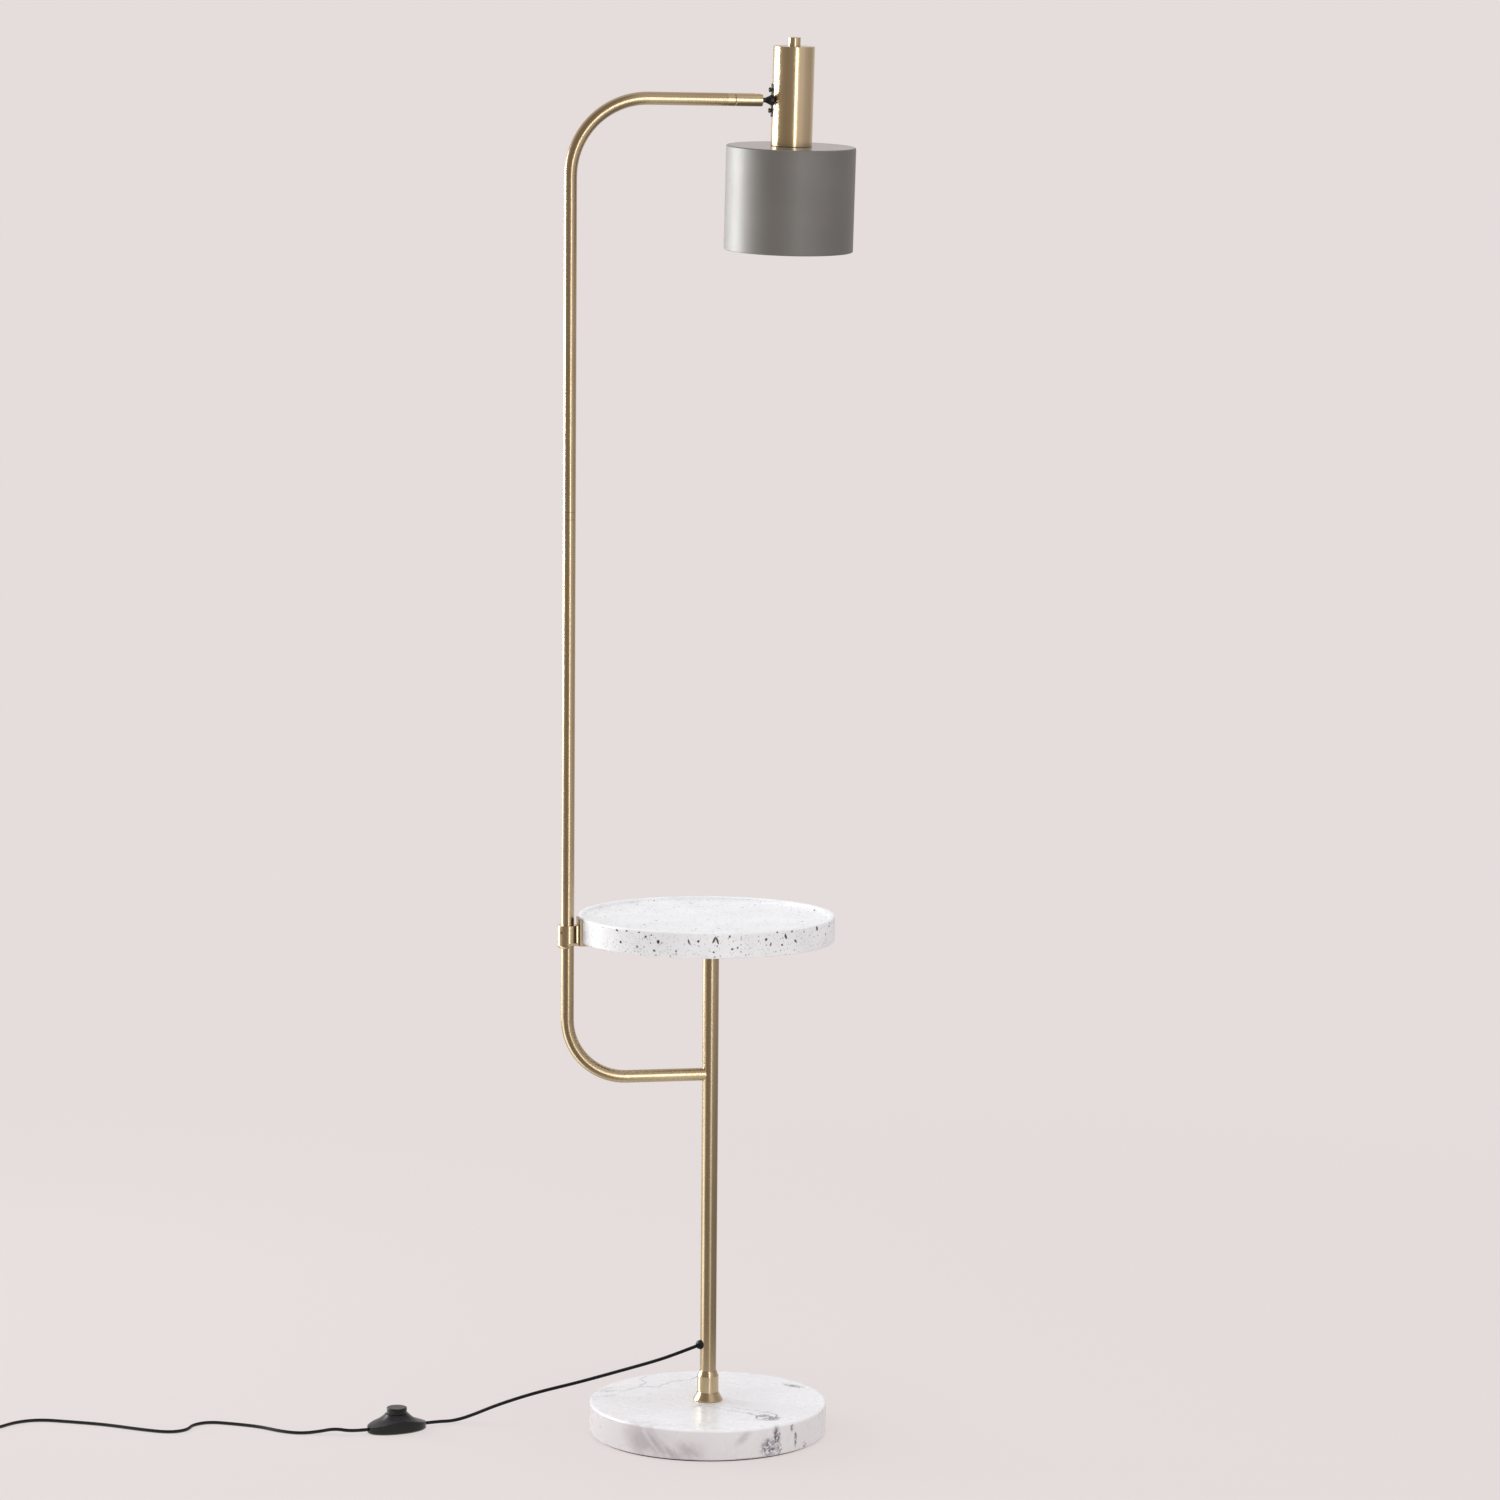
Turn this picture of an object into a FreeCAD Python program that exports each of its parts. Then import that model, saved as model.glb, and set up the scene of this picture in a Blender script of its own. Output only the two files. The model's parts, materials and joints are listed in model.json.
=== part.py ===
import FreeCAD, Part
import math
import os

# A floor lamp with a round tray table, in millimetres.
# The origin is the centre of the base's underside, on the floor.  +Z is up, and
# +X points along the arm, from the tall pole over the base to the lamp head.

V = FreeCAD.Vector
X_AXIS = V(1, 0, 0)
Y_AXIS = V(0, 1, 0)
Z_AXIS = V(0, 0, 1)

# ---------------------------------------------------------------- driving sizes
# Base: a marble disc on a thin pad, with the turned brass foot of the pole on top.
base_radius = 140.0
marble_thickness = 36.0
marble_edge_round = 3.0
marble_foot_round = 2.0
pad_thickness = 2.0
pad_margin = 5.0
counterbore_radius = 30.0
counterbore_depth = 12.0
flange_radius = 17.6
flange_height = 10.0
flange_lip = 1.6
flange_chamfer = 0.8
sleeve_radius = 12.6
sleeve_height = 20.0
sleeve_taper = 6.0
sleeve_groove = 1.2
sleeve_groove_depth = 1.0
sleeve_round = 1.0
sleeve_edge = 0.5
sleeve_floor = 3.0
stud_radius = 5.0
stud_chamfer = 1.0
stud_short_of_insert = 5.0
stud_past_nut = 1.5
insert_length = 30.0
nut_across_flats = 17.0
nut_height = 8.0
washer_radius = 20.0
washer_thickness = 2.0

# Poles: the short thick pole carries the tray, the tall slim one carries the head.
lower_pole_radius = 9.5
lower_pole_wall = 1.2
branch_radius = 7.5
branch_wall = 1.2
branch_wire_hole = 5.8
low_branch_height = 429.0
low_bend_radius = 70.0
mid_joint_height = 1080.5
mid_ring_height = 9.0
coupler_grip = 20.0
coupler_wall = 1.6
ring_chamfer = 0.4
arm_height = 1562.5
arm_bend_radius = 90.0
arm_end_x = 11.0

# Cord exit in the lower pole.
grommet_height = 105.5
grommet_azimuth = 190.0
grommet_dip = 16.0
grommet_flange_radius = 5.4
grommet_flange_height = 2.4
grommet_nose_radius = 3.1
grommet_nose_height = 5.2
grommet_round = 1.2
grommet_inner_length = 3.0
grommet_inner_step = 0.8
cord_hole_radius = 3.7
wire_radius = 1.3

# Tray and what carries it.
tray_radius = 150.0
tray_top_height = 619.0
tray_thickness = 30.0
tray_offset = 5.5
pole_stand_off = 14.5
tray_rim_width = 5.5
tray_recess = 5.0
tray_edge_round = 2.2
tray_foot_round = 1.6
tray_lip_round = 1.5
tray_fillet = 2.5
tray_draft = 1.0
plate_radius = 45.0
plate_thickness = 3.0
plate_round = 0.8
plate_screw_circle = 34.0
plate_screw_count = 3
plug_length = 22.0
plate_screw_length = 18.0
collar_radius = 12.0
collar_height = 27.0
collar_drop = 23.0
collar_round = 3.5
collar_top_round = 0.6
bracket_width = 30.0
bracket_thickness = 3.0
bracket_gap_top = 2.0
lip_length = 34.0
boss_width = 15.0
bracket_foot_width = 21.0
boss_top_inset = 0.5
lip_screw_inset = 24.0
bracket_screw_spacing = 9.0
grub_below_top = 8.0
grub_azimuth = 225.0
grub_recess = 0.8
grub_chamfer = 0.7
grub_socket = 1.1
grub_socket_depth = 1.4

# Screws.
m3_radius = 1.5
m3_head = 2.8
m3_head_height = 2.0
m3_sunk_head = 3.0
m3_bite = 5.0
m4_radius = 2.0
m4_head = 4.0
m4_head_height = 2.6
m4_bite = 10.0
blind_extra = 2.0
nut_chamfer = 0.8
m6_radius = 3.0
m6_head = 5.4

# Swivel at the end of the arm.
arm_ring_length = 9.6
housing_length = 31.6
housing_wall = 1.2
housing_back = 3.4
spindle_radius = 5.2
spindle_grip = 22.0
spindle_head = 2.2
ball_radius = 6.0
ball_setback = 6.3
mouth_radius = 4.7
stem_neck_radius = 2.8
stem_flange_radius = 6.0
stem_flange_height = 1.0
stem_flange_chamfer = 0.8
stem_cone_round = 1.5
stem_thread_radius = 4.5
stem_washer_radius = 7.5
stem_washer_thickness = 2.2
stem_nut_flats = 13.0
stem_nut_thickness = 4.0
stem_past_nut = 1.0
seat_length = 6.0
seat_bore = 2.8
disc_spring_leaf = 0.8
spindle_wall = 1.6
head_lean = 5.7

# Lamp head.  Its heights are measured from the arm's centre line.
head_radius = 24.0
head_wall = 1.2
head_foot_chamfer = 0.6
head_offset = 42.2
head_above_arm = 62.0
head_below_arm = 52.0
cap_thickness = 1.5
cap_spigot = 4.0
cap_spigot_wall = 1.5
cap_round = 0.6
nipple_radius = 5.0
nipple_bore = 3.2
nipple_grip = 8.0
nipple_nut_flats = 14.0
nipple_nut_thickness = 4.0
finial_radius = 7.3
finial_height = 10.0
finial_round = 0.7
finial_roof = 3.5
saddle_thickness = 1.1
saddle_height = 38.0
saddle_width = 8.0
saddle_end_round = 3.4
saddle_hub_radius = 7.0
saddle_screw_spacing = 23.6
saddle_screw_collar = 1.2
saddle_screw_collar_radius = 1.9
shade_radius = 75.0
shade_height = 120.0
shade_wall = 1.0
shade_skin = 1.2
shade_hem = 1.4
shade_hem_height = 3.0
shade_hem_step = 0.6
shade_hem_round = 0.9
shade_edge_round = 1.6
holder_radius = 21.5
holder_top = 18.0
holder_crown = 9.0
holder_crown_inset = 7.0
holder_crown_round = 3.0
holder_roof = 16.0
holder_shell_wall = 0.7
holder_shell_inset = 2.0
holder_shell_top_gap = 1.0
contact_height = 3.0
contact_radius = 4.0
contact_foot_radius = 6.5
skirt_radius = 19.8
skirt_length = 20.0
holder_bore = 14.2
clamp_ring_radius = 25.0
clamp_ring_height = 6.0
clamp_ring_notches = 12
clamp_ring_lip = 1.0
clamp_ring_lip_height = 1.6
clamp_ring_round = 0.8
notch_radius = 1.6
notch_depth = 1.2
bulb_radius = 30.0
bulb_length = 80.0
bulb_wall = 0.8
bulb_cap_length = 25.0
bulb_cap_wall = 0.6
bulb_cap_round = 1.5
bulb_tip_radius = 4.0
bulb_tip_height = 4.0
bulb_tip_bevel = 1.0
bulb_neck_grip = 3.0
bulb_shoulder = math.radians(40)

# Foot switch, which lies on the floor beside the base.
switch_x = -362.0
switch_y = 64.0
switch_azimuth = 14.5
switch_half_length = 36.5
switch_half_width = 20.0
switch_split = 3.6
switch_rim = 8.0
switch_height = 28.5
switch_hub_height = 21.0
switch_shoulder_radius = 20.5
switch_shoulder_height = 14.0
switch_shoulder_round = 30.0
switch_foot_chamfer = 1.5
switch_hub_wall = 1.6
button_radius = 12.0
button_travel = 3.0
button_roof = 2.0
button_lip = 1.0
button_lip_height = 1.2
button_round = 1.2
button_post_radius = 3.4
tower_radius = 4.0
tower_bore = 2.6
tower_height = 6.5
spring_coil_radius = 5.2
spring_wire_radius = 0.45
spring_turns = 5
casing_wall = 1.6
bell_wall_share = 1.25
casing_post_radius = 3.2
casing_screw_radius = 1.3
casing_screw_head = 2.4
casing_screw_height = 1.5
casing_screw_bite = 4.2
casing_screw_spacing = 40.0
casing_screw_clearance = 0.5
gland_radius = 3.4
gland_length = 7.0

# Cord, plug and the coil of spare cord.
cord_diameter = 4.0
cord_entry_height = 5.2
cord_lead_in = 17.0
cord_lead_out = 20.0
coil_lead = 16.0
coil_x = -892.0
coil_y = 148.0
coil_start_angle = -60.0
coil_turns = 6.0
coil_middle_radius = 23.0
coil_pitch = 4.6
coil_layer = 5.0
tie_azimuth = 100.0
tie_width = 7.0
tie_thickness = 0.6
tie_round = 2.0
tie_slack = 0.5
plug_width = 25.0
plug_body_length = 27.0
plug_relief_length = 24.0
plug_neck_share = 0.5
plug_corner_round = 3.0
plug_edge_round = 1.8
relief_nose_wall = 0.7
relief_end_wall = 1.6
relief_straight = 17.0
relief_overlap = 2.0
relief_groove_count = 5
relief_groove_width = 1.2
relief_groove_pitch = 3.2
relief_first_groove = 4.0
relief_core_wall = 0.35
blade_length = 17.5
blade_root = 8.0
blade_width = 6.35
blade_thickness = 1.5
blade_spacing = 12.7
blade_hole_radius = 1.6
blade_hole_inset = 4.0

# Fits.
thread_gap = 0.05
running_gap = 0.06
slip_gap = 0.10
seat_gap = 0.30
turning_gap = 0.30
sink_depth = 0.15

# ---------------------------------------------------------------- worked-out sizes
marble_bottom = pad_thickness
base_top = pad_thickness + marble_thickness
counterbore_top = marble_bottom + counterbore_depth
flange_top = base_top + flange_height
sleeve_top = flange_top + sleeve_height
pole_foot = flange_top + sleeve_floor
lower_pole_bore = lower_pole_radius - lower_pole_wall
branch_bore = branch_radius - branch_wall
pole_spacing = tray_radius + tray_offset + pole_stand_off
low_joint_height = tray_top_height - collar_drop
tray_bottom = tray_top_height - tray_thickness
tray_floor = tray_top_height - tray_recess
plate_bottom = tray_bottom - plate_thickness
collar_bottom = low_joint_height - collar_height / 2
housing_start = arm_end_x + arm_ring_length + turning_gap
housing_end = housing_start + housing_length
housing_bore = branch_radius - housing_wall
ball_x = housing_end - ball_setback
head_x = ball_x + head_offset
head_bore = head_radius - head_wall
cap_bottom = head_above_arm - cap_thickness
shade_top = -head_below_arm
shade_bottom = shade_top - shade_height
skirt_bottom = shade_top - skirt_length
cord_radius = cord_diameter / 2

nodes = {}


def direction(azimuth, dip=0.0):
    """Unit vector at an azimuth from +X, pointing down by the dip."""
    level = math.cos(math.radians(dip))
    across = math.radians(azimuth)
    return V(level * math.cos(across), level * math.sin(across), -math.sin(math.radians(dip)))


# ---------------------------------------------------------------- shared shapes
def rounded_wire(corners, radii, closed=True):
    """Straight runs between corners, joined by tangent arcs of the given radii."""
    count = len(corners)
    bends = []
    for i, corner in enumerate(corners):
        at_end = not closed and i in (0, count - 1)
        if at_end or radii[i] == 0:
            bends.append((corner, None, corner))
            continue
        back = (corners[i - 1] - corner).normalize()
        ahead = (corners[(i + 1) % count] - corner).normalize()
        half = back.getAngle(ahead) / 2
        setback = radii[i] / math.tan(half)
        depth = radii[i] / math.sin(half) - radii[i]
        inward = (back + ahead).normalize()
        bends.append((corner + back * setback, corner + inward * depth, corner + ahead * setback))
    edges = []
    for i, (start, middle, end) in enumerate(bends):
        if middle is not None:
            edges.append(Part.Arc(start, middle, end).toShape())
        if i == count - 1 and not closed:
            break
        following = bends[(i + 1) % count][0]
        if end.distanceToPoint(following) > 1e-6:
            edges.append(Part.LineSegment(end, following).toShape())
    return Part.Wire(edges)


def arc_middle(start, corner, end):
    """Middle of the arc that is tangent to both legs of a symmetric corner."""
    chord_middle = (start + end) * 0.5
    rise = corner - chord_middle
    half_chord = (end - start).Length / 2
    sagitta = half_chord * math.tan(math.atan2(rise.Length, half_chord) / 2)
    return chord_middle + rise.normalize() * sagitta


def placed(shape, base, axis):
    """Carry a shape from the origin to the base, with its +Z turned to the axis."""
    place = FreeCAD.Placement(base, FreeCAD.Rotation(Z_AXIS, axis))
    shape.Placement = place.multiply(shape.Placement)
    return shape


def turned(outline, base=V(0, 0, 0), axis=Z_AXIS):
    """Solid of revolution.  The outline holds (radius, height) or (radius, height, round)."""
    corners = [V(point[0], 0, point[1]) for point in outline]
    radii = [point[2] if len(point) > 2 else 0 for point in outline]
    face = Part.Face(rounded_wire(corners, radii))
    return placed(face.revolve(V(0, 0, 0), Z_AXIS, 360), base, axis)


def rod(radius, start, end):
    """Plain cylinder between two points."""
    return Part.makeCylinder(radius, (end - start).Length, start, end - start)


def pipe(outer, inner, start, end):
    """Straight tube between two points."""
    return rod(outer, start, end).cut(rod(inner, start, end))


def swept(path, radius):
    """Round bar along a path."""
    first = path.OrderedEdges[0]
    at = first.FirstParameter
    profile = Part.Wire(Part.Circle(first.valueAt(at), first.tangentAt(at), radius).toShape())
    return path.makePipeShell([profile], True, False)


def hexagon(across_flats, bottom, height, bore):
    """Hexagonal nut with a plain bore."""
    reach = across_flats / math.sqrt(3)
    corners = [direction(60 * i) * reach for i in range(6)]
    prism = Part.Face(Part.makePolygon(corners + corners[:1])).extrude(Z_AXIS * height)
    prism.translate(Z_AXIS * bottom)
    top = bottom + height
    tip = reach - nut_chamfer
    crown = turned([(0, bottom), (tip, bottom), (reach, bottom + nut_chamfer),
                    (reach, top - nut_chamfer), (tip, top), (0, top)])
    return prism.common(crown).cut(rod(bore, V(0, 0, bottom), V(0, 0, top)))


def pan_screw(seat, towards, shank, length, head, height):
    """Pan-head screw whose head stands on the seat and whose shank runs towards."""
    outline = [(0, -height), (head, -height, height * 0.6), (head, 0), (shank, 0),
               (shank, length - shank), (shank * 0.4, length), (0, length)]
    slot_width = head * 0.35
    slot = Part.makeBox(3 * head, slot_width, height * 0.4, V(-1.5 * head, -slot_width / 2, -height))
    screw = turned(outline).cut(slot)
    return placed(screw, seat, towards)


def sunk_screw(seat, towards, shank, length, head):
    """Countersunk screw whose flat head lies just under the seat."""
    top = head - sink_depth
    outline = [(0, 0), (top, 0), (shank, top - shank), (shank, length - shank),
               (shank * 0.4, length), (0, length)]
    return turned(outline, seat + towards * sink_depth, towards)


def sunk_hole(seat, towards, shank, length, head):
    """Cutter for a countersunk hole whose cone seats a sunk screw."""
    bore = shank + slip_gap
    outline = [(0, -1), (head, -1), (head, 0), (bore, head - bore), (bore, length), (0, length)]
    return turned(outline, seat, towards)


def keep(name, shape):
    """Store one named piece."""
    nodes[name] = shape.removeSplitter() if len(shape.Solids) == 1 else shape


# ---------------------------------------------------------------- base
def make_base():
    pad_radius = base_radius - pad_margin
    keep("base_pad", pipe(pad_radius, counterbore_radius, V(0, 0, 0), V(0, 0, pad_thickness)))

    stud_hole = stud_radius + seat_gap
    keep("marble_base", turned([
        (stud_hole, counterbore_top), (counterbore_radius, counterbore_top),
        (counterbore_radius, marble_bottom),
        (base_radius, marble_bottom, marble_foot_round),
        (base_radius, base_top, marble_edge_round), (stud_hole, base_top)]))

    stud_top = pole_foot + insert_length - stud_short_of_insert
    stud_bottom = counterbore_top - washer_thickness - nut_height - stud_past_nut
    stud_tip = stud_radius - stud_chamfer
    keep("base_stud", turned([
        (0, stud_bottom), (stud_tip, stud_bottom), (stud_radius, stud_bottom + stud_chamfer),
        (stud_radius, stud_top - stud_chamfer), (stud_tip, stud_top), (0, stud_top)]))
    thread_bore = stud_radius + thread_gap
    washer_bottom = counterbore_top - washer_thickness
    keep("base_washer", pipe(washer_radius, stud_hole, V(0, 0, washer_bottom), V(0, 0, counterbore_top)))
    keep("base_nut", hexagon(nut_across_flats, washer_bottom - nut_height, nut_height, thread_bore))

    keep("base_flange", turned([
        (thread_bore, base_top), (flange_radius - flange_chamfer, base_top),
        (flange_radius, base_top + flange_lip), (sleeve_radius, flange_top),
        (thread_bore, flange_top)]))

    groove_radius = sleeve_radius - sleeve_groove_depth
    shoulder = sleeve_top + sleeve_taper
    pole_fit = lower_pole_radius + slip_gap
    keep("base_sleeve", turned([
        (thread_bore, flange_top), (groove_radius, flange_top),
        (groove_radius, flange_top + sleeve_groove),
        (sleeve_radius, flange_top + sleeve_groove), (sleeve_radius, sleeve_top, sleeve_round),
        (pole_fit + sleeve_edge, shoulder), (pole_fit, shoulder),
        (pole_fit, pole_foot), (thread_bore, pole_foot)]))
    keep("pole_insert", pipe(lower_pole_bore - thread_gap, thread_bore,
                             V(0, 0, pole_foot), V(0, 0, pole_foot + insert_length)))


# ---------------------------------------------------------------- poles
def grommet_frame():
    """Centre of the cord hole on the pole's skin, and the way the cord leaves it."""
    skin = direction(grommet_azimuth) * lower_pole_radius + Z_AXIS * grommet_height
    return skin, direction(grommet_azimuth, grommet_dip)


def make_lower_pole():
    pole = pipe(lower_pole_radius, lower_pole_bore, V(0, 0, pole_foot), V(0, 0, plate_bottom))
    skin, out = grommet_frame()
    pole = pole.cut(rod(cord_hole_radius, skin - out * lower_pole_bore, skin + out * lower_pole_wall * 2))
    wire_way = rod(branch_wire_hole, V(0, 0, low_branch_height),
                   V(-lower_pole_radius - 1, 0, low_branch_height))
    keep("lower_pole", pole.cut(wire_way))

    inside = rod(lower_pole_bore, V(0, 0, pole_foot), V(0, 0, plate_bottom))
    outside = rod(lower_pole_radius, V(0, 0, pole_foot), V(0, 0, plate_bottom))
    reach = lower_pole_wall + grommet_inner_length
    flange = turned([
        (0, -reach), (grommet_flange_radius, -reach),
        (grommet_flange_radius, grommet_flange_height, grommet_round),
        (grommet_nose_radius, grommet_nose_height), (0, grommet_nose_height)], skin, out)
    lip = rod(cord_hole_radius + grommet_inner_step, skin - out * reach, skin).common(inside)
    neck = rod(cord_hole_radius - thread_gap, skin - out * reach, skin + out)
    bushing = flange.cut(outside).fuse(neck).fuse(lip)
    wire_way = rod(wire_radius, skin - out * reach, skin + out * grommet_nose_height)
    keep("cord_grommet", bushing.cut(wire_way))


def branch_path(corner_a, corner_b, corner_c, bend):
    """Two straight runs with one bend."""
    return rounded_wire([corner_a, corner_b, corner_c], [0, bend, 0], closed=False)


def bent_tube(path):
    return swept(path, branch_radius).cut(swept(path, branch_bore))


def make_tall_pole():
    low = branch_path(V(0, 0, low_branch_height), V(-pole_spacing, 0, low_branch_height),
                      V(-pole_spacing, 0, low_joint_height), low_bend_radius)
    coping = rod(lower_pole_radius, V(0, 0, low_branch_height - 2 * branch_radius),
                 V(0, 0, low_branch_height + 2 * branch_radius))
    keep("low_branch", bent_tube(low).cut(coping))

    foot = V(-pole_spacing, 0, low_joint_height)
    joint = V(-pole_spacing, 0, mid_joint_height)
    keep("middle_tube", pipe(branch_radius, branch_bore, foot, joint))

    spigot = branch_bore - thread_gap
    keep("low_coupler", pipe(spigot, spigot - coupler_wall, foot - Z_AXIS * coupler_grip,
                             foot + Z_AXIS * coupler_grip))
    ring_top = joint + Z_AXIS * mid_ring_height
    edge = branch_radius - ring_chamfer
    keep("mid_coupler", turned([
        (spigot - coupler_wall, -coupler_grip), (spigot, -coupler_grip), (spigot, 0), (edge, 0),
        (branch_radius, ring_chamfer), (branch_radius, mid_ring_height - ring_chamfer),
        (edge, mid_ring_height),
        (spigot, mid_ring_height), (spigot, mid_ring_height + coupler_grip),
        (spigot - coupler_wall, mid_ring_height + coupler_grip)], joint))

    upper = branch_path(ring_top, V(-pole_spacing, 0, arm_height),
                        V(arm_end_x, 0, arm_height), arm_bend_radius)
    keep("upper_tube", bent_tube(upper))


# ---------------------------------------------------------------- tray
def tray_plate_screws():
    return [direction(90 + 360 / plate_screw_count * i) * plate_screw_circle
            for i in range(plate_screw_count)]


def lip_screw_place():
    return V(lip_screw_inset - tray_offset - tray_radius, 0, 0)


def make_tray():
    centre = V(-tray_offset, 0, 0)
    inner = tray_radius - tray_rim_width
    blind_end = tray_bottom + m4_bite + blind_extra
    tray = turned([
        (0, tray_bottom), (tray_radius, tray_bottom, tray_foot_round),
        (tray_radius, tray_top_height, tray_edge_round), (inner, tray_top_height, tray_lip_round),
        (inner - tray_draft, tray_floor, tray_fillet), (0, tray_floor)], centre)
    for place in tray_plate_screws() + [lip_screw_place()]:
        tray = tray.cut(rod(m4_radius, place + Z_AXIS * (tray_bottom - 1), place + Z_AXIS * blind_end))
    keep("tray", tray)

    plate = turned([
        (0, plate_bottom), (plate_radius, plate_bottom, plate_round),
        (plate_radius, tray_bottom, plate_round), (0, tray_bottom)])
    seat = Z_AXIS * tray_bottom
    plate = plate.cut(sunk_hole(seat, -Z_AXIS, m6_radius, 2 * plate_thickness, m6_head))
    screws = []
    for place in tray_plate_screws():
        under = place + Z_AXIS * plate_bottom
        plate = plate.cut(rod(m4_radius + seat_gap, under, place + Z_AXIS * tray_bottom))
        screws.append(pan_screw(under, Z_AXIS, m4_radius - thread_gap, plate_thickness + m4_bite,
                                m4_head, m4_head_height))
    keep("tray_plate", plate)
    keep("tray_screws", Part.makeCompound(screws))

    plug_bottom = plate_bottom - plug_length
    keep("pole_top_plug", pipe(lower_pole_bore - thread_gap, m6_radius + thread_gap,
                               V(0, 0, plug_bottom), V(0, 0, plate_bottom)))
    keep("tray_plate_screw", sunk_screw(seat, -Z_AXIS, m6_radius, plate_screw_length, m6_head))


def sector(inner, outer, bottom, top, width, centre):
    """Part of a ring about a vertical line, facing the tall pole, of the given width."""
    band = pipe(outer, inner, centre + Z_AXIS * bottom, centre + Z_AXIS * top)
    slab = Part.makeBox(outer + 1, width, top - bottom, centre + V(-outer - 1, -width / 2, bottom))
    return band.common(slab)


def make_tray_clamp():
    centre = V(-tray_offset, 0, 0)
    pole = V(-pole_spacing, 0, 0)
    plate_outer = tray_radius + bracket_thickness
    collar_top = collar_bottom + collar_height
    body = turned([(0, 0), (collar_radius, 0, collar_round),
                   (collar_radius, collar_height, collar_top_round), (0, collar_height)],
                  pole + Z_AXIS * collar_bottom)
    boss_end = pole_spacing - tray_offset - tray_radius
    boss = Part.makeBox(boss_end, boss_width, collar_top - boss_top_inset - tray_bottom,
                        pole + V(0, -boss_width / 2, tray_bottom))
    body = body.fuse(boss).cut(rod(plate_outer, centre + Z_AXIS * collar_bottom,
                                   centre + Z_AXIS * collar_top))
    body = body.cut(Part.makeBox(collar_radius, 2 * collar_radius, tray_bottom - collar_bottom,
                                 pole + V(0, -collar_radius, collar_bottom)))
    body = body.cut(rod(branch_radius + slip_gap, pole + Z_AXIS * collar_bottom,
                        pole + Z_AXIS * collar_top))
    screw_way = direction(grub_azimuth)
    screw_at = pole + Z_AXIS * (collar_top - grub_below_top)
    body = body.cut(rod(m4_radius, screw_at, screw_at + screw_way * (collar_radius + 1)))
    bracket_bottom = tray_bottom - bracket_thickness
    middle = (tray_bottom + collar_top) / 2
    plate_face = -tray_offset - tray_radius
    seats = [V(plate_face, 0, middle + side * bracket_screw_spacing / 2) for side in (-1, 1)]
    for seat in seats:
        body = body.cut(rod(m3_radius + thread_gap, seat, seat - X_AXIS * (m3_bite + 1)))
    keep("tray_collar", body)

    tip = branch_radius
    end = collar_radius - grub_recess
    socket_end = end - grub_socket_depth
    grub = m4_radius - thread_gap
    keep("collar_screw", turned([
        (0, tip), (grub - grub_chamfer, tip), (grub, tip + grub_chamfer), (grub, end),
        (grub_socket, end), (grub_socket, socket_end), (0, socket_end)], screw_at, screw_way))

    plate = sector(tray_radius, plate_outer, bracket_bottom, tray_top_height - bracket_gap_top,
                   bracket_width, centre)
    lip = sector(tray_radius - lip_length, plate_outer, bracket_bottom, tray_bottom,
                 bracket_width, centre)
    lip_seat = lip_screw_place() + Z_AXIS * bracket_bottom
    lip_hole = rod(m4_radius + seat_gap, lip_seat, lip_seat + Z_AXIS * bracket_thickness)
    foot = Part.makeBox(boss_end, bracket_foot_width, bracket_thickness,
                        pole + V(0, -bracket_foot_width / 2, bracket_bottom))
    foot = foot.cut(rod(branch_radius + slip_gap, pole + Z_AXIS * bracket_bottom,
                        pole + Z_AXIS * tray_bottom))
    bracket = plate.fuse(lip).fuse(foot).cut(lip_hole)
    screws = []
    for seat in seats:
        bracket = bracket.cut(sunk_hole(seat, -X_AXIS, m3_radius, 2 * bracket_thickness, m3_sunk_head))
        screws.append(sunk_screw(seat, -X_AXIS, m3_radius, m3_bite, m3_sunk_head))
    keep("tray_bracket", bracket)
    keep("bracket_screws", Part.makeCompound(screws))
    keep("lip_screw", pan_screw(lip_seat, Z_AXIS, m4_radius - thread_gap,
                                bracket_thickness + m4_bite, m4_head, m4_head_height))


# ---------------------------------------------------------------- swivel
def along_arm(x):
    return V(x, 0, arm_height)


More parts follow.
